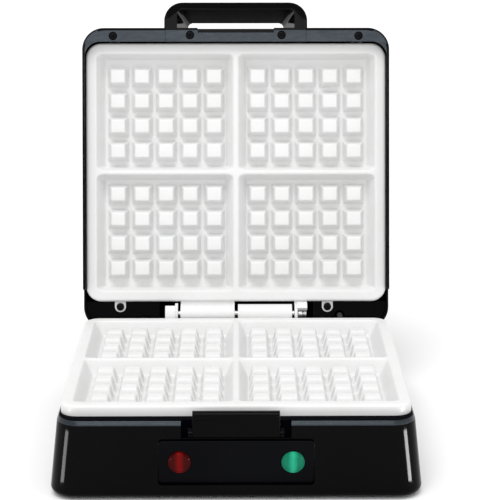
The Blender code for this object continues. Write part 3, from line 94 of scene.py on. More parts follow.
def place_camera():
    data = bpy.data.cameras.new("camera")
    data.sensor_width = 36
    data.lens = 121.86
    data.clip_start = 0.05
    data.clip_end = 50
    camera = bpy.data.objects.new("camera", data)
    camera.location = HINGE + Vector((1.57, -1518.3, 452.2)) * MM
    camera.rotation_euler = (math.radians(90 - 14.431), 0, math.radians(-0.425))
    bpy.context.scene.collection.objects.link(camera)
    bpy.context.scene.camera = camera


place_camera()


# ---------------------------------------------------------------- materials

class Shader:
    """Small helper for building one node material."""

    def __init__(self, name):
        self.material = bpy.data.materials.new(name)
        self.material.use_nodes = True
        self.tree = self.material.node_tree
        self.surface = self.tree.nodes["Principled BSDF"]
        self.place = self.add("ShaderNodeTexCoord").outputs["Object"]

    def add(self, kind, **settings):
        node = self.tree.nodes.new(kind)
        for key, value in settings.items():
            setattr(node, key, value)
        return node

    def link(self, source, target):
        self.tree.links.new(source, target)

    def put(self, socket, value):
        self.surface.inputs[socket].default_value = value

    def noise(self, scale, detail=4.0, rough=0.55, stretch=None):
        node = self.add("ShaderNodeTexNoise")
        node.inputs["Scale"].default_value = scale
        node.inputs["Detail"].default_value = detail
        node.inputs["Roughness"].default_value = rough
        if stretch:
            mapping = self.add("ShaderNodeMapping")
            mapping.inputs["Scale"].default_value = stretch
            self.link(self.place, mapping.inputs["Vector"])
            self.link(mapping.outputs["Vector"], node.inputs["Vector"])
        else:
            self.link(self.place, node.inputs["Vector"])
        return node.outputs["Fac"]

    def cells(self, scale):
        node = self.add("ShaderNodeTexVoronoi")
        node.inputs["Scale"].default_value = scale
        self.link(self.place, node.inputs["Vector"])
        return node.outputs["Distance"]

    def span(self, source, low, high, start=0.3, end=0.7):
        node = self.add("ShaderNodeMapRange")
        node.inputs["From Min"].default_value = start
        node.inputs["From Max"].default_value = end
        node.inputs["To Min"].default_value = low
        node.inputs["To Max"].default_value = high
        self.link(source, node.inputs["Value"])
        return node.outputs["Result"]

    def mix(self, factor, first, second):
        node = self.add("ShaderNodeMix", data_type="RGBA")
        self.link(factor, node.inputs["Factor"])
        for socket, value in (("A", first), ("B", second)):
            target = [s for s in node.inputs if s.name == socket and s.type == "RGBA"][0]
            if isinstance(value, tuple):
                target.default_value = (*value, 1)
            else:
                self.link(value, target)
        return [s for s in node.outputs if s.type == "RGBA"][0]

    def bump(self, sources, distance, strength=1.0):
        """Chain of height textures, each given with its share of the distance."""
        normal = None
        for height, share in sources:
            node = self.add("ShaderNodeBump")
            node.inputs["Strength"].default_value = strength
            node.inputs["Distance"].default_value = distance * share
            self.link(height, node.inputs["Height"])
            if normal:
                self.link(normal, node.inputs["Normal"])
            normal = node.outputs["Normal"]
        self.link(normal, self.surface.inputs["Normal"])

    def reach(self, source, centre):
        """Distance of one coordinate from a value."""
        shifted = self.add("ShaderNodeMath", operation="SUBTRACT")
        shifted.inputs[1].default_value = centre
        self.link(source, shifted.inputs[0])
        size = self.add("ShaderNodeMath", operation="ABSOLUTE")
        self.link(shifted.outputs["Value"], size.inputs[0])
        return size.outputs["Value"]

    def drive(self, socket, source):
        self.link(source, self.surface.inputs[socket])


def gloss_plastic(name, colour, low, high, shine, cast=(1, 1, 1, 1)):
    """Polished moulding with faint flow, hairline rub marks and dust."""
    shader = Shader(name)
    flow = shader.noise(9, 3)
    rub = shader.noise(60, 5, 0.7, (1, 14, 1))
    dust = shader.noise(900, 2)
    pale = tuple(c * 1.4 + 0.0004 for c in colour)
    tint = shader.mix(shader.span(flow, 0, 1, 0.35, 0.65), colour, pale)
    specks = shader.span(dust, 0, 0.03, 0.7, 0.8)
    shader.drive("Base Color", shader.mix(specks, tint, (0.1, 0.1, 0.1)))
    shader.drive("Roughness", shader.span(rub, low, high, 0.3, 0.75))
    shader.bump([(flow, 1), (shader.noise(240, 2), 0.04)], 0.00025, 0.35)
    shader.put("Specular IOR Level", shine)
    shader.put("Specular Tint", cast)
    return shader.material


def ceramic(name):
    """Satin pale coating: orange peel, fine pits, a little warmth where batter has baked."""
    shader = Shader(name)
    broad = shader.noise(22, 4)
    fine = shader.noise(1400, 2)
    peel = shader.noise(420, 3)
    warm = shader.mix(shader.span(broad, 0, 1, 0.42, 0.75), (0.74, 0.742, 0.74), (0.72, 0.717, 0.71))
    specks = shader.span(fine, 0, 0.35, 0.7, 0.78)
    shader.drive("Base Color", shader.mix(specks, warm, (0.6, 0.59, 0.56)))
    shader.drive("Roughness", shader.span(peel, 0.34, 0.5, 0.3, 0.7))
    shader.bump([(peel, 1), (fine, 0.35)], 0.00009, 0.5)
    shader.put("Specular IOR Level", 0.3)
    return shader.material


def matt_plastic(name, colour):
    shader = Shader(name)
    grain = shader.cells(1500)
    shade = shader.noise(30, 4)
    pale = tuple(c * 1.6 + 0.006 for c in colour)
    shader.drive("Base Color", shader.mix(shader.span(shade, 0, 1), colour, pale))
    shader.drive("Roughness", shader.span(shader.noise(200, 3), 0.5, 0.72))
    shader.bump([(grain, 1)], 0.00012, 0.6)
    return shader.material


def rubber(name, colour):
    shader = Shader(name)
    shade = shader.noise(80, 5)
    pale = tuple(c * 1.8 + 0.01 for c in colour)
    shader.drive("Base Color", shader.mix(shader.span(shade, 0, 1), colour, pale))
    shader.drive("Roughness", shader.span(shader.noise(400, 3), 0.72, 0.92))
    shader.bump([(shader.noise(900, 3), 1)], 0.0001, 0.6)
    return shader.material


def metal(name, colour, low, high, stretch=(1, 1, 30)):
    """Drawn or turned metal with fine streaks and dull patches."""
    shader = Shader(name)
    streak = shader.noise(150, 4, 0.6, stretch)
    patch = shader.noise(40, 4)
    dull = tuple(c * 0.72 for c in colour)
    shader.drive("Base Color", shader.mix(shader.span(patch, 0, 1), colour, dull))
    shader.drive("Roughness", shader.span(streak, low, high))
    shader.bump([(streak, 1)], 0.00004, 0.5)
    shader.put("Metallic", 1.0)
    return shader.material


def lens_plastic(name, deep, bright, centre_x):
    """Tinted lamp cover: deep colour at the sides, a painted highlight band down its middle and a pale rim.
    """
    shader = Shader(name)
    split = shader.add("ShaderNodeSeparateXYZ")
    shader.link(shader.place, split.inputs["Vector"])
    across = shader.reach(split.outputs["X"], centre_x)
    # Painted highlight: the colour brightens towards a vertical band down the cover's middle, broken up by
    # noise.
    band = shader.span(across, 1, 0, 0.6 * MM, 4.2 * MM)
    cloud = shader.span(shader.noise(260, 3), -0.12, 0.12)
    lit = shader.add("ShaderNodeMath", operation="ADD", use_clamp=True)
    shader.link(band, lit.inputs[0])
    shader.link(cloud, lit.inputs[1])
    body = shader.mix(lit.outputs["Value"], deep, bright)
    shader.drive("Base Color", body)
    shader.drive("Roughness", shader.span(shader.noise(500, 2), 0.04, 0.1))
    shader.bump([(shader.noise(150, 2), 1)], 0.00012, 0.3)
    shader.put("Specular IOR Level", 0.08)
    return shader.material


def glass(name):
    shader = Shader(name)
    shader.drive("Base Color", shader.mix(shader.noise(90, 2), (0.95, 0.9, 0.86), (0.85, 0.8, 0.76)))
    shader.drive("Roughness", shader.span(shader.noise(300, 2), 0.03, 0.1))
    shader.put("Transmission Weight", 0.8)
    return shader.material


BLACK = gloss_plastic("gloss_black", (0.0005, 0.0005, 0.0007), 0.06, 0.13, 0.055)
# Shaded copy of the gloss black with almost no reflection: painted shade in the latch recess, on the rim
# beside the plate and inside the handle loop.
SHADED_BLACK = gloss_plastic("shaded_black", (0.0004, 0.0005, 0.0016), 0.45, 0.6, 0.01)
# Lit copy of the gloss black: a lighter bluish base and strong blue-tinted reflection, a painted highlight on
# the base's chamfer band and the lid's rim face.
HIGHLIGHT_BLACK = gloss_plastic("highlight_black", (0.004, 0.0055, 0.008), 0.22, 0.36, 0.5, (0.78, 0.9, 1, 1))
MATT = matt_plastic("matt_black", (0.009, 0.009, 0.01))
CERAMIC = ceramic("ceramic")
PANEL = gloss_plastic("panel", (0.0008, 0.0009, 0.0018), 0.25, 0.4, 0.05)
# The second colour of each lens is its painted highlight band.
RED = lens_plastic("red_lens", (0.04, 0.0001, 0.0002), (0.15, 0.0004, 0.0004), -LENS_X)
GREEN = lens_plastic("green_lens", (0.006, 0.16, 0.085), (0.02, 0.36, 0.21), LENS_X)
LAMP = glass("lamp_glass")
STEEL = metal("steel", (0.62, 0.62, 0.63), 0.2, 0.42)
DARK_STEEL = metal("dark_steel", (0.012, 0.012, 0.014), 0.4, 0.6)
SHEET = metal("aluminium", (0.76, 0.76, 0.75), 0.25, 0.45, (30, 1, 1))
SHEATH = metal("element", (0.16, 0.15, 0.14), 0.45, 0.65)
RUBBER = rubber("rubber", (0.014, 0.014, 0.014))
WHITE = matt_plastic("white_plastic", (0.66, 0.65, 0.6))
WIRE = rubber("wire", (0.5, 0.47, 0.42))


# ---------------------------------------------------------------- shapes

def add_object(name, mesh):
    body = bpy.data.objects.new(name, mesh)
    bpy.context.scene.collection.objects.link(body)
    return body


def from_bmesh(name, bm):
    mesh = bpy.data.meshes.new(name)
    bm.to_mesh(mesh)
    bm.free()
    return add_object(name, mesh)


def rounded_rectangle(x_min, x_max, y_min, y_max, radius, steps=10):
    corners = [(x_max - radius, y_min + radius, -90), (x_max - radius, y_max - radius, 0),
               (x_min + radius, y_max - radius, 90), (x_min + radius, y_min + radius, 180)]
    points = []
    for centre_x, centre_y, start in corners:
        for step in range(steps + 1):
            angle = math.radians(start + 90 * step / steps)
            points.append((centre_x + radius * math.cos(angle), centre_y + radius * math.sin(angle)))
    return points


def rectangle(x_min, x_max, y_min, y_max):
    return [(x_min, y_min), (x_max, y_min), (x_max, y_max), (x_min, y_max)]


def arc(centre_x, centre_y, radius, start, end, steps):
    angles = [start + (end - start) * step / steps for step in range(steps + 1)]
    return [(centre_x + radius * math.cos(a), centre_y + radius * math.sin(a)) for a in angles]


def circle(x, y, radius, steps=32):
    return arc(x, y, radius, 0, 2 * math.pi * (steps - 1) / steps, steps - 1)


def loft(name, sections):
    bm = bmesh.new()
    rings = [[bm.verts.new((x, y, height)) for x, y in outline] for outline, height in sections]
    count = len(rings[0])
    for lower, upper in zip(rings, rings[1:]):
        for i in range(count):
            following = (i + 1) % count
            bm.faces.new((lower[i], lower[following], upper[following], upper[i]))
    bm.faces.new(list(reversed(rings[0])))
    bm.faces.new(rings[-1])
    return from_bmesh(name, bm)


def prism(name, outline, low, high):
    return loft(name, [(outline, low), (outline, high)])


def box(name, x_min, x_max, y_min, y_max, z_min, z_max):
    return prism(name, rectangle(x_min, x_max, y_min, y_max), z_min, z_max)


def turned(body, matrix):
    body.data.transform(matrix)
    return body


TO_X = Matrix(((0, 0, 1, 0), (1, 0, 0, 0), (0, 1, 0, 0), (0, 0, 0, 1)))


def prism_along_x(name, outline_yz, x_min, x_max):
    return turned(prism(name, outline_yz, x_min, x_max), TO_X)


def lathe(name, profile, steps=40):
    bm = bmesh.new()
    rings = []
    for radius, height in profile:
        if radius == 0:
            rings.append([bm.verts.new((0, 0, height))] * steps)
        else:
            rings.append([bm.verts.new((x, y, height)) for x, y in circle(0, 0, radius, steps)])
    for lower, upper in zip(rings, rings[1:] + rings[:1]):
        for i in range(steps):
            following = (i + 1) % steps
            unique = list(dict.fromkeys([lower[i], lower[following], upper[following], upper[i]]))
            if len(unique) > 2:
                bm.faces.new(unique)
    return from_bmesh(name, bm)


def combine(body, tool, operation):
    modifier = body.modifiers.new(operation, "BOOLEAN")
    modifier.operation = operation
    modifier.object = tool
    modifier.solver = "EXACT"
    shape = body.evaluated_get(bpy.context.evaluated_depsgraph_get())
    mesh = bpy.data.meshes.new_from_object(shape)
    body.modifiers.clear()
    body.data = mesh
    bpy.data.objects.remove(tool, do_unlink=True)
    return body


def cut(body, *tools):
    for tool in tools:
        combine(body, tool, "DIFFERENCE")
    return body


def join(body, *tools):
    for tool in tools:
        combine(body, tool, "UNION")
    return body


def soften(body, width, angle=32, segments=2):
    """Round the hard edges a little, with shading that keeps the flat faces flat."""
    bevel = body.modifiers.new("edges", "BEVEL")
    bevel.width = width
    bevel.segments = segments
    bevel.limit_method = "ANGLE"
    bevel.angle_limit = math.radians(angle)
    bevel.harden_normals = False
    bevel.use_clamp_overlap = True
    return body


def settle(body, place, finish, rides_on, replaces=(), smooth=35, areas=()):
    """Put a piece drawn in hinge coordinates into the row frame and give it its material and body.

    Each area is another finish and a test that picks its faces from their centre and normal.
    """
    body.data.materials.clear()
    body.data.materials.append(finish)
    for other, is_inside in areas:
        body.data.materials.append(other)
        slot = len(body.data.materials) - 1
        for face in body.data.polygons:
            if is_inside(face.center, face.normal):
                face.material_index = slot
    body.data.transform(place)
    body.data.shade_smooth()
    body.data.set_sharp_from_angle(angle=math.radians(smooth))
    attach(body, rides_on)
    if replaces:
        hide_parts(*replaces)
    return body


# ---------------------------------------------------------------- plates

def lines(marks, spread):
    """Grid lines either side of each mark, sorted and without near repeats."""
    values = sorted({round(mark + step, 7) for mark, steps in marks for step in steps} | set(spread))
    kept = [values[0]]
    for value in values[1:]:
        if value - kept[-1] > 0.12 * MM:
            kept.append(value)
    return np.array(kept)


def peg_offsets(top_half, base_half):
    edge = [-1.1, -0.45, 0.1, 0.7]
    foot = [-0.6, 0.1, 0.8]
    steps = [top_half + e * MM for e in edge]
    steps += [(top_half + base_half) / 2]
    steps += [base_half + f * MM for f in foot]
    return [-s for s in steps] + steps


def axis_lines(half, corner, centres, top_half, base_half, land, run, ridge):
    marks = [(sign * c, peg_offsets(top_half, base_half)) for c in centres for sign in (-1, 1)]
    wall = [-0.9 * MM, -0.2 * MM, 0.4 * MM, 1.1 * MM]
    foot = [0.9 * MM, 0.2 * MM, -0.6 * MM]
    for sign in (-1, 1):
        marks.append((sign * land, [sign * -w for w in wall]))
        marks.append((sign * (land - run / 2), [0]))
        marks.append((sign * (land - run), [sign * -f for f in foot]))
        marks.append((sign * ridge, [sign * -0.8 * MM, 0, sign * 0.7 * MM]))
        marks.append((sign * (ridge + run / 2), [0]))
        marks.append((sign * (ridge + run), [sign * -0.5 * MM, sign * 0.3 * MM, sign * MM]))
    shares = (0, 0.12, 0.25, 0.38, 0.5, 0.63, 0.76, 0.88, 1)
    outer = [sign * (half - corner * share) for sign in (-1, 1) for share in shares]
    return lines(marks, [0.0] + outer)


def soft_min(a, b, reach):
    blend = np.maximum(reach - np.abs(a - b), 0) / reach
    return np.minimum(a, b) - blend * blend * reach / 4


def soft_max(a, b, reach):
    return -soft_min(-a, -b, reach)


def plate_height(x, y):
    """Height of the plate's face over the hinge plane; y is measured from the plate's middle."""
    floor = FACE - CAVITY_DEPTH
    x = np.abs(x)
    y = np.abs(y)
    rise = PEG_TOP - floor
    column = np.abs((x - COLUMNS[0]) - np.round((x - COLUMNS[0]) / PITCH_X).clip(0, 4) * PITCH_X)
    row = np.abs((y - ROWS[0]) - np.round((y - ROWS[0]) / PITCH_Y).clip(0, 3) * PITCH_Y)
    side_x = floor + rise * (PEG_HALF_X + PEG_DRAFT - column) / PEG_DRAFT
    side_y = floor + rise * (PEG_HALF_Y + PEG_DRAFT - row) / PEG_DRAFT
    pegs = soft_min(soft_min(side_x, side_y, 3 * MM), np.full_like(x, PEG_TOP), 2.6 * MM)
    stretch = RUN_X / RUN_Y
    radius = 7 * MM
    over_x = np.abs(x - (LAND_X + RIDGE_X) / 2) - (LAND_X - RIDGE_X) / 2 + radius
    over_y = (np.abs(y - (LAND_Y + RIDGE_Y) / 2) - (LAND_Y - RIDGE_Y) / 2) * stretch + radius
    outside = np.hypot(np.maximum(over_x, 0), np.maximum(over_y, 0))
    distance = outside + np.minimum(np.maximum(over_x, over_y), 0) - radius
    wall = FACE + distance * CAVITY_DEPTH / RUN_X
    inside = soft_max(soft_max(pegs, np.full_like(x, floor), 2.4 * MM), wall, 3 * MM)
    return soft_min(inside, np.full_like(x, FACE), 1.6 * MM)


PITCH_X = 22.5 * MM
PITCH_Y = 23.2 * MM
PEG_HALF_X = 6.55 * MM
PEG_HALF_Y = 6.1 * MM
PEG_DRAFT = 3.1 * MM
LAND_X = 130.3 * MM
LAND_Y = PLATE_HALF_DEPTH - 9.9 * MM
RIDGE_X = 2.3 * MM
RIDGE_Y = 1.8 * MM
RUN_X = 7.2 * MM
RUN_Y = 4.5 * MM
FIRST_COLUMN = (LAND_X + RIDGE_X) / 2 - 0.9 * MM - 2 * PITCH_X
FIRST_ROW = (LAND_Y + RIDGE_Y) / 2 - 1.2 * MM - 1.5 * PITCH_Y
COLUMNS = [FIRST_COLUMN + PITCH_X * k for k in range(5)]
ROWS = [FIRST_ROW + PITCH_Y * k for k in range(4)]


def plate_body(name):
    """Closed casting: a shaped face on a fitted grid, a rolled edge, straight sides and a flat back."""
    roll = 2.4 * MM
    corner = PLATE_CORNER - roll
    half_x = PLATE_HALF - roll
    half_y = PLATE_HALF_DEPTH - roll
    xs = axis_lines(half_x, corner, COLUMNS, PEG_HALF_X, PEG_HALF_X + PEG_DRAFT, LAND_X, RUN_X, RIDGE_X)
    ys = axis_lines(half_y, corner, ROWS, PEG_HALF_Y, PEG_HALF_Y + PEG_DRAFT, LAND_Y, RUN_Y, RIDGE_Y)
    grid_x, grid_y = np.meshgrid(xs, ys, indexing="ij")
    in_x = np.abs(grid_x) - (half_x - corner)
    in_y = np.abs(grid_y) - (half_y - corner)
    in_corner = (in_x > 0) & (in_y > 0)
    longest = np.maximum(in_x, in_y)
    scale = np.where(in_corner, longest / np.maximum(np.hypot(in_x, in_y), 1e-9), 1)
    grid_x = np.where(in_corner, np.sign(grid_x) * (half_x - corner + in_x * scale), grid_x)
    grid_y = np.where(in_corner, np.sign(grid_y) * (half_y - corner + in_y * scale), grid_y)
    heights = plate_height(grid_x, grid_y)
    count_x, count_y = grid_x.shape
    points = np.stack([grid_x, grid_y + PLATE_MIDDLE, heights], axis=-1).reshape(-1, 3)

    def index(i, j):
        return i * count_y + j
    faces = []
    for i in range(count_x - 1):
        for j in range(count_y - 1):
            a, b, c, d = index(i, j), index(i + 1, j), index(i + 1, j + 1), index(i, j + 1)
            if abs(points[a][2] - points[c][2]) < abs(points[b][2] - points[d][2]):
                faces += [(a, b, c), (a, c, d)]
            else:
                faces += [(a, b, d), (b, c, d)]
    ring = [index(i, 0) for i in range(count_x - 1)]
    ring += [index(count_x - 1, j) for j in range(count_y - 1)]
    ring += [index(i, count_y - 1) for i in range(count_x - 1, 0, -1)]
    ring += [index(0, j) for j in range(count_y - 1, 0, -1)]
    edge = points[ring]
    inner_x = np.clip(edge[:, 0], -(half_x - corner), half_x - corner)
    inner_y = np.clip(edge[:, 1] - PLATE_MIDDLE, -(half_y - corner), half_y - corner) + PLATE_MIDDLE
    outward = np.stack([edge[:, 0] - inner_x, edge[:, 1] - inner_y], axis=-1)
    outward /= np.linalg.norm(outward, axis=1)[:, None]
    rings = [list(ring)]
    total = len(points)
    bends = (0.25, 0.5, 0.8, 1.15, math.pi / 2)
    levels = [(roll * math.sin(a), FACE - roll * (1 - math.cos(a))) for a in bends]
    levels += [(roll, FACE - 6 * MM), (roll, PLATE_BACK)]
    extra = []
    for out, height in levels:
        place = edge[:, :2] + outward * out
        extra.append(np.column_stack([place, np.full(len(place), height)]))
        rings.append(list(range(total, total + len(ring))))
        total += len(ring)
    points = np.concatenate([points] + extra)
    for upper, lower in zip(rings, rings[1:]):
        for k in range(len(ring)):
            following = (k + 1) % len(ring)
            faces.append((upper[k], lower[k], lower[following], upper[following]))
    faces.append(tuple(reversed(rings[-1])))
    mesh = bpy.data.meshes.new(name)
    mesh.from_pydata(points.tolist(), [], faces)
    mesh.validate()
    return add_object(name, mesh)


def lug_outline(radius):
    """Round eye with a straight foot that runs into the plate's rear side."""
    root = LUG_FRONT
    low = -15 * MM
    start = math.atan2(low, root) + math.acos(radius / math.hypot(root, low))
    flat = FACE - 2.4 * MM
    end = math.atan2(flat, -math.sqrt(radius ** 2 - flat ** 2)) + 2 * math.pi
    return [(root, low)] + arc(0, 0, radius, start, end, 40) + [(root, flat)]


def guard_outline():
    """Open hook that wraps part of the pin from outside."""
    outer = 11.1 * MM
    foot = math.radians(206)
    tip = math.radians(121)
    return list(reversed(arc(0, 0, outer, foot, tip, 20) + arc(0, 0, 6 * MM, tip, foot, 16)))


def ear(x, y, inward, low, high):
    """Round-ended screw ear with its hole."""
    root = inward * 10 * MM
    start = math.pi if inward > 0 else 0
    side = EAR_HALF if inward > 0 else -EAR_HALF
    outline = arc(x, y, EAR_HALF, start, start + math.pi, 24)
    outline += [(x + side, y + root), (x - side, y + root)]
    tongue = prism("ear", outline, low, high)
    return cut(tongue, prism("hole", circle(x, y, 2.2 * MM, 24), low - MM, high + MM))


def plate_fittings(name):
    """Hinge lugs and screw ears as one mesh beside the plate's body."""
    hook_sides = (-66 * MM, -56.5 * MM)
    hook_root = rectangle(LUG_FRONT, -7.2 * MM, -8.6 * MM, -2.6 * MM)
    fittings = prism_along_x("wide_lug", lug_outline(8.9 * MM), 1.6 * MM, 51.9 * MM)
    join(fittings, prism_along_x("web", lug_outline(9.9 * MM), -57 * MM, -54.4 * MM),
         prism_along_x("guard", guard_outline(), *hook_sides),
         prism_along_x("root", hook_root, *hook_sides))
    bore = turned(prism("bore", circle(0, 0, BORE_RADIUS), -80 * MM, 80 * MM), TO_X)
    cut(fittings, bore)
    for x in REAR_EAR_XS:
        join(fittings, ear(x, REAR_EAR_Y, -1, -SCREW_SEAT - 4 * MM, -SCREW_SEAT))
    for x in FRONT_EAR_XS:
        join(fittings, ear(x, FRONT_EAR_Y, 1, PLATE_BACK, PLATE_BACK + 4 * MM))
    fittings.name = name
    return soften(fittings, 0.5 * MM)


def add_plates():
    for label, place, rides_on in (("lower", BASE_PLACE, "base"), ("upper", LID_PLACE @ FLIP, "lid")):
        body = plate_body(label + "_plate_face")
        settle(body, place, CERAMIC, rides_on, (label + "_plate",), 60)
        fittings = settle(plate_fittings(label + "_plate_fittings"), place, CERAMIC, rides_on)


# ---------------------------------------------------------------- base

CHAMFER_FOOT = BASE_RIM - 3.5 * MM
SIDE_FLARE = 6.4 * MM
FRONT_FLARE = 5.5 * MM
BOTTOM_TURN = 5.5 * MM
RECESS_FLOOR = -22.5 * MM


def base_outline(height, inset):
    share = max(0, (height - CHAMFER_FOOT) / (BASE_BOTTOM - CHAMFER_FOOT))
    half = SHELL_HALF + SIDE_FLARE * share - inset
    front = SHELL_FRONT - FRONT_FLARE * share + inset
    return rounded_rectangle(-half, half, front, SHELL_REAR - inset, SHELL_CORNER - inset, 14)


def base_levels():
    """Inset and height of each section, from the rounded foot to the chamfered rim."""
    levels = []
    steps = 9
    for step in range(steps):
        angle = math.pi / 2 * step / steps
        inset = 4.4 * MM * (1 - math.sin(angle)) + 0.11 * BOTTOM_TURN * math.cos(angle)
        levels.append((inset, BASE_BOTTOM + BOTTOM_TURN * (1 - math.cos(angle))))
    levels += [(0, BASE_BOTTOM + BOTTOM_TURN), (0, (BASE_BOTTOM + CHAMFER_FOOT) / 2)]
    levels += [(0, CHAMFER_FOOT - 0.8 * MM)]
    levels += [(0.06 * MM, CHAMFER_FOOT - 0.2 * MM), (0.28 * MM, CHAMFER_FOOT + 0.45 * MM),
               (1.32 * MM, BASE_RIM - 0.6 * MM), (1.62 * MM, BASE_RIM - 0.2 * MM), (2.1 * MM, BASE_RIM)]
    return levels


def base_body():
    sections = [(base_outline(height, inset), height) for inset, height in base_levels()]
    return loft("base_housing", sections)


def plate_opening(low, high):
    grow = 0.5 * MM
    half = PLATE_HALF + grow
    outline = rounded_rectangle(-half, half, PLATE_FRONT - grow, SHELL_REAR - WALL, PLATE_CORNER + grow, 14)
    return prism("opening", outline, low, high)


PANEL_HALF_X = 61.5 * MM
PANEL_HALF_Y = 18.3 * MM
PANEL_DROP = PANEL_HALF_Y + 23.6 * MM
PANEL_CORNER = 3 * MM
TILT = math.atan2(FRONT_FLARE, CHAMFER_FOOT - BASE_BOTTOM)
LATCH_HALF = 34.4 * MM
RECESS_HALF = 43.5 * MM
LATCH_FACE = SHELL_FRONT - 2.2 * MM
LATCH_PIN = Vector((0, LATCH_FACE + 2.6 * MM, -18.4 * MM))
LATCH_PIN_HOLE = 1.35 * MM
GLAND = Vector((104 * MM, SHELL_REAR, -50 * MM))


def on_front(body):
    """Place a solid drawn flat about the origin, facing +Z, on the sloping front wall."""
    down = (PANEL_DROP + CHAMFER_FOOT) / math.cos(TILT)
    place = Vector((0, SHELL_FRONT - math.sin(TILT) * down, CHAMFER_FOOT - math.cos(TILT) * down))
    return turned(body, Matrix.Translation(place) @ Matrix.Rotation(math.pi / 2 + TILT, 4, "X"))


def latch_pin_hole():
    section = circle(LATCH_PIN.y, LATCH_PIN.z, LATCH_PIN_HOLE, 20)
    return turned(prism("hole", section, -40 * MM, 40 * MM), TO_X)


def base_housing():
    """Housing wall with its rim, latch recess, panel recess, cheeks, bosses and ribs."""
    shell = base_body()
    low = BASE_BOTTOM - MM
    high = BASE_RIM - 2.6 * MM
    inside = [(base_outline(BASE_BOTTOM, 4.4 * MM + WALL), low), (base_outline(high, WALL), high)]
    cut(shell, loft("hollow", inside))
    backing_half = RECESS_HALF + WALL
    join(shell, box("backing", -backing_half, backing_half, SHELL_FRONT + 1.1 * MM, SHELL_FRONT + 6.2 * MM,
                    RECESS_FLOOR - 2.5 * MM, -10.3 * MM))
    reach = 160 * MM
    notch = box("notch", -reach, reach, -6 * MM, 30 * MM, -18.6 * MM, 5 * MM)
    recess = box("recess", -RECESS_HALF, RECESS_HALF, SHELL_FRONT - 10 * MM, SHELL_FRONT + 4.2 * MM,
                 RECESS_FLOOR, MM)
    inlay_x = PANEL_HALF_X + 0.3 * MM
    inlay_y = PANEL_HALF_Y + 0.3 * MM
    inlay = rounded_rectangle(-inlay_x, inlay_x, -inlay_y, inlay_y, PANEL_CORNER, 6)
    cut(shell, plate_opening(-13 * MM, MM), notch, recess, on_front(prism("inlay", inlay, -1.1 * MM, 5 * MM)))
    for x in (-LENS_X, LENS_X):
        cut(shell, on_front(prism("lamp_hole", circle(x, 0, 7.1 * MM), -8 * MM, 5 * MM)))
    for side in (-1, 1):
        xs = sorted((side * (LATCH_HALF + 0.5 * MM), side * (LATCH_HALF + 3.5 * MM)))
        join(shell, box("cheek", *xs, SHELL_FRONT, SHELL_FRONT + 5.2 * MM, -24 * MM, -14.4 * MM))
    gland = prism("hole", circle(0, 0, 6.8 * MM), -10 * MM, 10 * MM)
    turned(gland, Matrix.Translation(GLAND) @ Matrix.Rotation(math.pi / 2, 4, "X"))
    cut(shell, latch_pin_hole(), gland)
    boss_foot = -34.5 * MM
    for x in REAR_EAR_XS:
        column = prism("boss", circle(x, REAR_EAR_Y, BOSS_RADIUS), boss_foot, -8.5 * MM)
        cut(column, prism("hole", circle(x, REAR_EAR_Y, SCREW_HOLE, 20), -24 * MM, -8 * MM))
        join(shell, column)
        join(shell, box("rib", x - MM, x + MM, -3 * MM, 13 * MM, boss_foot, -19.6 * MM))
    return soften(shell, 0.35 * MM, 38)


# ---------------------------------------------------------------- latch, panel, lamps

def latch_tab():
    """Tab with a rolled upper edge, a nose behind it and a fine line across its face."""
    top = -MM
    low = -22 * MM
    neck = LATCH_FACE + 4 * MM
    nose = neck + 2.2 * MM
    under = top - 2.6 * MM
    edge = 0.6 * MM
    outline = [(LATCH_FACE + edge, low), (neck - edge, low), (neck, low + edge)]
    outline += [(neck, under - 0.5 * MM), (neck + 0.15 * MM, under - 0.15 * MM), (neck + 0.5 * MM, under)]
    outline += [(nose - 0.2 * MM, under), (nose, under + 0.2 * MM), (nose, top - 0.8 * MM)]
    outline += [(nose - 0.25 * MM, top - 0.25 * MM), (nose - 0.8 * MM, top)]
    roll = [(3, 0.02), (1.9, 0.22), (0.9, 0.75), (0.3, 1.6), (0.04, 2.6), (0, 4)]
    outline += [(LATCH_FACE + back * MM, top - down * MM) for back, down in roll]
    outline += [(LATCH_FACE, low + edge)]
    tab = prism_along_x("latch_tab", outline, -LATCH_HALF, LATCH_HALF)
    groove = box("groove", -31 * MM, 31 * MM, LATCH_FACE - MM, LATCH_FACE + 0.3 * MM, -7.4 * MM, -7 * MM)
    cut(tab, latch_pin_hole(), groove)
    return soften(tab, 0.3 * MM, 40)


def inlay_panel():
    outline = rounded_rectangle(-PANEL_HALF_X, PANEL_HALF_X, -PANEL_HALF_Y, PANEL_HALF_Y, PANEL_CORNER, 8)
    panel = prism("inlay_panel", outline, -0.8 * MM, 0.5 * MM)
    for x in (-LENS_X, LENS_X):
        cut(panel, prism("hole", circle(x, 0, 9.5 * MM, 48), -5 * MM, 5 * MM))
    return soften(on_front(panel), 0.25 * MM)


def lens_cover(name, x):
    """Domed cover with a bright rolled lip, a stepped face and a hollow skirt."""
    seat = -0.8 * MM
    rim = 0.5 * MM
    skirt = [(0, seat), (5.6 * MM, seat), (5.6 * MM, -9 * MM), (6.8 * MM, -9 * MM), (6.8 * MM, seat)]
    edge = [(9 * MM, seat), (9.2 * MM, seat + 0.2 * MM), (9.2 * MM, rim - 0.1 * MM)]
    lip = [(9.05 * MM, rim + 0.3 * MM), (8.6 * MM, rim + 0.5 * MM), (8.2 * MM, rim + 0.3 * MM)]
    profile = skirt + edge + lip + [(8 * MM, rim + 0.2 * MM)]
    for step in range(1, 10):
        angle = math.pi / 2 * step / 10
        profile.append((8 * MM * math.cos(angle), rim + 0.2 * MM + 1.4 * MM * math.sin(angle)))
    profile.append((0, rim + 1.6 * MM))
    body = turned(lathe(name, profile, 48), Matrix.Translation((x, 0, 0)))
    return on_front(body)


# ---------------------------------------------------------------- hinge

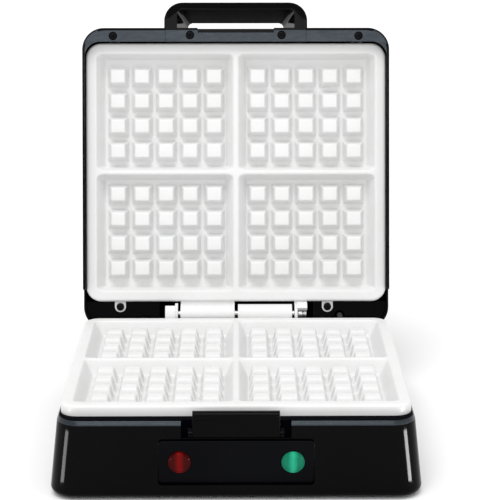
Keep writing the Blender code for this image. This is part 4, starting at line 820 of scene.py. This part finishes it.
def pin_nut(name, side):
    """Round nut with a groove round its middle, on one end of the hinge pin."""
    length = 8.4 * MM
    radius = 5 * MM
    inner = 3.2 * MM
    start = [(0.5, 0), (0.1, 0.15), (0, 0.5)]
    groove = [(0, 0.48), (0.15, 0.5), (0.9, 0.54), (1, 0.57), (1, 0.66)]
    groove += [(0.9, 0.69), (0.35, 0.73), (0.3, 0.76)]
    end = [(0.3, 0.8), (0.45, 0.3), (0.9, 0)]
    profile = [(inner, 0)] + [(radius - down * MM, along * MM) for down, along in start]
    profile += [(radius - down * MM, length * along) for down, along in groove]
    profile += [(radius - down * MM, length - back * MM) for down, back in end] + [(inner, length)]
    body = turned(lathe(name, profile, 36), Matrix.Rotation(side * math.pi / 2, 4, "Y"))
    return turned(body, Matrix.Translation((side * 57.3 * MM, 0, 0)))


# ---------------------------------------------------------------- lid

CROWN_FOOT = 22 * MM
CROWN_RISE = 26 * MM
CROWN_REACH = 30 * MM
CROWN_INSET = 0.2 * MM
HANDLE_HALF = 66.4 * MM
FLANGE_HALF = 65.2 * MM
FLANGE_TOP = LID_RIM + 12.4 * MM
GAP_HALF = 54.5 * MM


def lid_outline(inset):
    return rounded_rectangle(-SHELL_HALF + inset, SHELL_HALF - inset, SHELL_FRONT + inset,
                             SHELL_REAR - inset, SHELL_CORNER - inset * 0.35, 14)


def crown(shrink):
    """Sections of the lid's rounded top, smaller all round by shrink."""
    sections = []
    steps = 12
    for step in range(steps + 1):
        bend = math.pi / 2 * step / steps
        inset = CROWN_INSET + CROWN_REACH * (1 - math.cos(bend)) + shrink
        sections.append((lid_outline(inset), CROWN_FOOT + (CROWN_RISE - shrink) * math.sin(bend)))
    return sections


def screw_holes(shell, x, y, low, high):
    """Clearance hole and sunk seat for a screw in the lid's rim face."""
    cut(shell, prism("hole", circle(x, y, SCREW_HOLE, 20), low, high))
    cut(shell, prism("sink", circle(x, y, SINK_RADIUS), LID_RIM - MM, SINK_SEAT))


def lid_housing():
    """Housing wall with its rim face, rounded top, hinge-side deck, bosses and lead hole."""
    lip = [(2.4, 0), (1.1, 0), (0.6, 0.08), (0.25, 0.3), (0.05, 0.65), (0, 1.1)]
    rim = [(lid_outline(inset * MM), LID_RIM + up * MM) for inset, up in lip]
    shell = loft("lid_housing", rim + crown(0.05 * MM))
    low = LID_RIM + 3 * MM
    cut(shell, loft("hollow", [(lid_outline(WALL), low)] + crown(WALL)))
    cut(shell, plate_opening(LID_RIM - MM, LID_RIM + 5.2 * MM))
    gap_top = FLANGE_TOP + 0.3 * MM
    for x in FRONT_EAR_XS:
        join(shell, prism("boss", circle(x, FRONT_EAR_Y, BOSS_RADIUS), LID_RIM + MM, 13.4 * MM))
    cut(shell, box("step", -160 * MM, 160 * MM, -23 * MM, 30 * MM, -15 * MM, 3 * MM))
    gap_half = FLANGE_HALF + 0.3 * MM
    cut(shell, box("gap", -gap_half, gap_half, SHELL_FRONT - 5 * MM, PLATE_FRONT + 0.5 * MM,
                   LID_RIM - MM, gap_top))
    deck_foot = 8.5 * MM
    for side in (-1, 1):
        xs = sorted((side * 72 * MM, side * 141.4 * MM))
        deck = box("deck", *xs, PLATE_REAR + 0.3 * MM, 12.8 * MM, deck_foot, 10.7 * MM)
        join(shell, combine(deck, prism("trim", lid_outline(MM), 0, 20 * MM), "INTERSECT"))
    for x in REAR_EAR_XS:
        join(shell, prism("boss", circle(-x, -6.2 * MM, BOSS_RADIUS), deck_foot, 20.5 * MM))
        cut(shell, prism("hole", circle(-x, REAR_EAR_Y, SCREW_HOLE, 20), 7 * MM, 18 * MM))
    boss_top = 18.3 * MM
    for x in HANDLE_SCREW_XS:
        join(shell, prism("boss", circle(x, HANDLE_SCREW_Y + MM, BOSS_RADIUS), gap_top, boss_top))
        join(shell, box("rib", x - 2 * MM, x + 2 * MM, SHELL_FRONT + 1.1 * MM, HANDLE_SCREW_Y,
                        gap_top, boss_top))
        cut(shell, prism("hole", circle(x, HANDLE_SCREW_Y, SCREW_HOLE, 20), 3 * MM, 15 * MM))
    for x in FRONT_EAR_XS:
        screw_holes(shell, x, FRONT_EAR_Y, LID_RIM - MM, 18 * MM)
    cut(shell, prism("lead_hole", circle(97 * MM, 2 * MM, 4.6 * MM), 5 * MM, 16 * MM))
    return soften(shell, 0.35 * MM, 38)


def handle_outline(reach, half, lean):
    front = SHELL_FRONT - reach
    rear = SHELL_FRONT + lean - 0.3 * MM
    corner = 17 * MM
    right = arc(half - corner, front + corner, corner, -math.pi / 2, 0, 16)
    left = arc(-half + corner, front + corner, corner, math.pi, 1.5 * math.pi, 16)
    return left + right + [(half, rear), (-half, rear)]


def handle_loop():
    """Solid loop before its finger gap is cut; levels hold height, reach, inset and lean."""
    joint = math.radians(25)
    rise = CROWN_RISE * math.sin(joint)
    top_lean = CROWN_INSET + CROWN_REACH * (1 - math.cos(joint))
    levels = [(LID_RIM, 22.6, 0.9, 0), (LID_RIM + 0.12 * MM, 23.0, 0.45, 0)]
    levels += [(LID_RIM + 0.45 * MM, 23.3, 0.15, 0), (LID_RIM + MM, 23.5, 0, 0)]
    levels += [(0, 24, 0.1, 0), (10 * MM, 24.7, 0.3, 0), (CROWN_FOOT, 25.4, 0.7, 0)]
    steps = 7
    for step in range(1, steps + 1):
        angle = math.pi / 2 * step / steps
        share = math.sin(angle)
        turn = 1 - math.cos(angle)
        levels.append((CROWN_FOOT + rise * share, 25.4 - 5.5 * turn, 0.7 + 4 * turn, top_lean * share))
    sections = []
    for height, reach, inset, lean in levels:
        sections.append((handle_outline(reach * MM, HANDLE_HALF - inset * MM, lean), height))
    return loft("handle_loop", sections)


def finger_gap():
    top = 33 * MM

    def outline(height):
        share = (height - LID_RIM) / (top - LID_RIM)
        half = GAP_HALF - 9 * MM * share
        grip = 6.4 * MM + 8.1 * MM * share
        rear = SHELL_FRONT + 5.2 * MM
        return rounded_rectangle(-half, half, SHELL_FRONT - 23.5 * MM + grip, rear, 5 * MM, 8)
    ends = (LID_RIM - MM, top + 2 * MM)
    return loft("finger_gap", [(outline(height), height) for height in ends])


def handle_piece():
    """Handle loop with its flange, necks, latch pocket and screw holes."""
    grip = handle_loop()
    cut(grip, finger_gap())
    border = SHELL_FRONT + 2.2 * MM
    join(grip, box("border", -FLANGE_HALF, FLANGE_HALF, SHELL_FRONT, border, LID_RIM, FLANGE_TOP))
    join(grip, box("flange", -FLANGE_HALF, FLANGE_HALF, border, PLATE_FRONT - 0.5 * MM, LID_RIM, FLANGE_TOP))
    for side in (-1, 1):
        xs = sorted((side * GAP_HALF, side * FLANGE_HALF))
        join(grip, box("neck", *xs, SHELL_FRONT - 4 * MM, SHELL_FRONT + 2 * MM, LID_RIM, FLANGE_TOP))
    mouth = -261.5 * MM
    half = LATCH_HALF + MM
    pocket = box("mouth", -half, half, SHELL_FRONT - MM, mouth, LID_RIM - MM, 0)
    undercut = box("undercut", -half, half, SHELL_FRONT - MM, mouth + 3.2 * MM, -4.4 * MM, 0)
    cut(grip, pocket, undercut)
    for x in HANDLE_SCREW_XS:
        cut(grip, prism("hole", circle(x, HANDLE_SCREW_Y, 2.2 * MM, 20), LID_RIM - MM, FLANGE_TOP + MM))
        cut(grip, prism("sink", circle(x, HANDLE_SCREW_Y, SINK_RADIUS), LID_RIM - MM, SINK_SEAT))
    return soften(grip, 0.4 * MM, 38)


# ---------------------------------------------------------------- screws

def screw_piece(name, x, y, seat, length, way):
    """Pan-head cross-recess screw; way is -1 if its shank runs down from the seat."""
    head = [(3.6, 0.3), (3.6, 1.1), (3.45, 1.6), (3.05, 2.0), (2.3, 2.22), (0, 2.3)]
    shank = 1.8 * MM
    profile = [(0, way * length), (shank - 0.3 * MM, way * length)]
    profile += [(shank, way * (length - 1.2 * MM)), (shank, -way * 0.3 * MM)]
    profile += [(r * MM, -way * h * MM) for r, h in head]
    body = lathe(name, profile if way < 0 else list(reversed(profile)), 32)
    for turn in (0, math.pi / 2):
        arms = rectangle(-2.1 * MM, 2.1 * MM, -0.42 * MM, 0.42 * MM)
        small = [(px * 0.45, py * 0.8) for px, py in arms]
        ends = sorted(((small, -way * 0.7 * MM), (arms, -way * 3 * MM)), key=lambda item: item[1])
        cross = turned(loft("cross", ends), Matrix.Rotation(turn + 0.3, 4, "Z"))
        cut(body, cross)
    return turned(soften(body, 0.12 * MM), Matrix.Translation((x, y, seat)))


def add_screws():
    for name, x in zip(("upper_plate_screw_rear_left", "upper_plate_screw_rear_right"), REAR_EAR_XS):
        piece = screw_piece(name + "_v", -x, REAR_EAR_Y, SCREW_SEAT, 12 * MM, 1)
        settle(piece, LID_PLACE, DARK_STEEL, "lid", (name,))
    for name, x in zip(("lower_plate_screw_rear_right", "lower_plate_screw_rear_left"), REAR_EAR_XS):
        piece = screw_piece(name + "_v", x, REAR_EAR_Y, -SCREW_SEAT, 12 * MM, -1)
        settle(piece, BASE_PLACE, DARK_STEEL, "base", (name,))
    front_names = ("upper_plate_screw_front_left", "upper_plate_screw_front_right")
    for name, x in zip(front_names, reversed(FRONT_EAR_XS)):
        piece = screw_piece(name + "_v", x, FRONT_EAR_Y, SINK_SEAT, -PLATE_BACK - SINK_SEAT, 1)
        settle(piece, LID_PLACE, DARK_STEEL, "lid", (name,))
    for name, x in zip(("handle_screw_left", "handle_screw_right"), HANDLE_SCREW_XS):
        piece = screw_piece(name + "_v", x, HANDLE_SCREW_Y, SINK_SEAT, 18.4 * MM, 1)
        settle(piece, LID_PLACE, DARK_STEEL, "lid", (name,))


# ---------------------------------------------------------------- assembly

def dress_cad():
    """Materials and softened edges for the CAD pieces that stay as they are."""
    finishes = {"bottom_cover": MATT, "thermostat": MATT, "cord_gland": RUBBER, "lid_lead": RUBBER,
                "power_lamp": LAMP, "ready_lamp": LAMP, "thermal_fuse": LAMP, "terminal_block": WHITE,
                "lower_element": SHEATH, "upper_element": SHEATH, "lower_reflector": SHEET,
                "upper_reflector": SHEET, "wire_left": WIRE, "wire_right": WIRE, "hinge_pin": STEEL,
                "latch_pin": DARK_STEEL}
    for name, body in frame["nodes"].items():
        finish = finishes.get(name)
        if name.startswith("foot_"):
            finish = RUBBER
        elif "screw" in name:
            finish = STEEL
        if finish is None:
            continue
        body.data.materials.clear()
        body.data.materials.append(finish)
        if name in ("bottom_cover", "terminal_block", "cord_gland") or name.startswith("foot_"):
            soften(body, 0.3 * MM, 40)


def on_deck(centre, normal):
    """The base's rim beside the plate and everything inside the latch recess: the faces given painted shade.
    """
    in_recess = abs(centre.x) < RECESS_HALF + 0.01 * MM and centre.y > SHELL_FRONT + 0.05 * MM
    in_recess = in_recess and -22.6 * MM < centre.z < -8 * MM
    return in_recess or (normal.z > 0.95 and centre.z > -10 * MM)


def on_chamfer(centre, normal):
    """The sloping band round the top of the base's walls, given a painted highlight."""
    return 0.2 < normal.z < 0.7 and CHAMFER_FOOT < centre.z < BASE_RIM and centre.y < -20 * MM


def on_rim(centre, normal):
    """The lid's narrow face in front of the plate, less a border along its edge, given a painted highlight.
    """
    over_x = max(abs(centre.x) - SHELL_HALF + SHELL_CORNER, 0)
    over_y = max(SHELL_FRONT + SHELL_CORNER - centre.y, 0)
    flat = normal.z < -0.95 and centre.z < LID_RIM + 0.1 * MM
    return flat and math.hypot(over_x, over_y) < SHELL_CORNER - 2.1 * MM


def on_grip_inside(centre, normal):
    """The long inner face of the handle's loop, given painted shade."""
    return normal.y > 0.8 and centre.y < SHELL_FRONT - 8 * MM


def build():
    dress_cad()
    add_plates()
    settle(base_housing(), BASE_PLACE, BLACK, "base", ("base_shell",), 35,
           ((SHADED_BLACK, on_deck), (HIGHLIGHT_BLACK, on_chamfer)))
    settle(latch_tab(), BASE_PLACE, BLACK, "latch", ("front_latch",))
    settle(inlay_panel(), BASE_PLACE, PANEL, "base", ("control_panel",))
    settle(lens_cover("red_cover", -LENS_X), BASE_PLACE, RED, "base", ("power_lens",))
    settle(lens_cover("green_cover", LENS_X), BASE_PLACE, GREEN, "base", ("ready_lens",))
    settle(pin_nut("pin_nut_left", -1), BASE_PLACE, STEEL, "base", ("hinge_nut_left",))
    settle(pin_nut("pin_nut_right", 1), BASE_PLACE, STEEL, "base", ("hinge_nut_right",))
    settle(lid_housing(), LID_PLACE, BLACK, "lid", ("lid_shell",), 35, ((HIGHLIGHT_BLACK, on_rim),))
    settle(handle_piece(), LID_PLACE, BLACK, "lid", ("handle",), 35,
           ((HIGHLIGHT_BLACK, on_rim), (SHADED_BLACK, on_grip_inside)))
    add_screws()


# ---------------------------------------------------------------- studio

def softbox(name, place, target, width, height, power):
    data = bpy.data.lights.new(name, "AREA")
    data.shape = "RECTANGLE"
    data.size = width
    data.size_y = height
    data.energy = power
    light = bpy.data.objects.new(name, data)
    light.location = place
    light.rotation_euler = (Vector(target) - Vector(place)).to_track_quat("-Z", "Y").to_euler()
    bpy.context.scene.collection.objects.link(light)
    return light


def studio():
    bm = bmesh.new()
    corners = [bm.verts.new((x * 6, y * 6, 0)) for x, y in ((-1, -1), (1, -1), (1, 1), (-1, 1))]
    bm.faces.new(corners)
    floor = from_bmesh("floor", bm)
    shader = Shader("floor")
    shader.drive("Base Color", shader.mix(shader.noise(3, 2), (0.93, 0.93, 0.93), (0.9, 0.9, 0.9)))
    shader.put("Roughness", 0.9)
    shader.put("Specular IOR Level", 0.0)
    floor.data.materials.append(shader.material)
    world = bpy.data.worlds.new("world")
    world.use_nodes = True
    world.node_tree.nodes["Background"].inputs["Color"].default_value = (1, 1, 1, 1)
    world.node_tree.nodes["Background"].inputs["Strength"].default_value = 0.85
    bpy.context.scene.world = world
    bpy.context.scene.view_settings.view_transform = "Standard"
    sun = bpy.data.lights.new("sun", "SUN")
    sun.energy = 1.4
    sun.angle = math.radians(38)
    sky = bpy.data.objects.new("sun", sun)
    sky.rotation_euler = (math.radians(24), math.radians(-8), 0)
    bpy.context.scene.collection.objects.link(sky)
    strip_height = 0.027
    softbox("rim", (-0.1, -1.75, 0.98), (0, 0.14, 0.34), 1.3, 0.34, 4.5)
    for side, power in ((-1, 0.1), (1, 0.26)):
        place = (side * 0.184, -0.205, strip_height)
        corner = (side * 0.139, -0.184, strip_height)
        strip = softbox("strip", place, corner, 0.018, 0.052, power)
        strip.visible_diffuse = False
        strip.visible_camera = False


build()
studio()
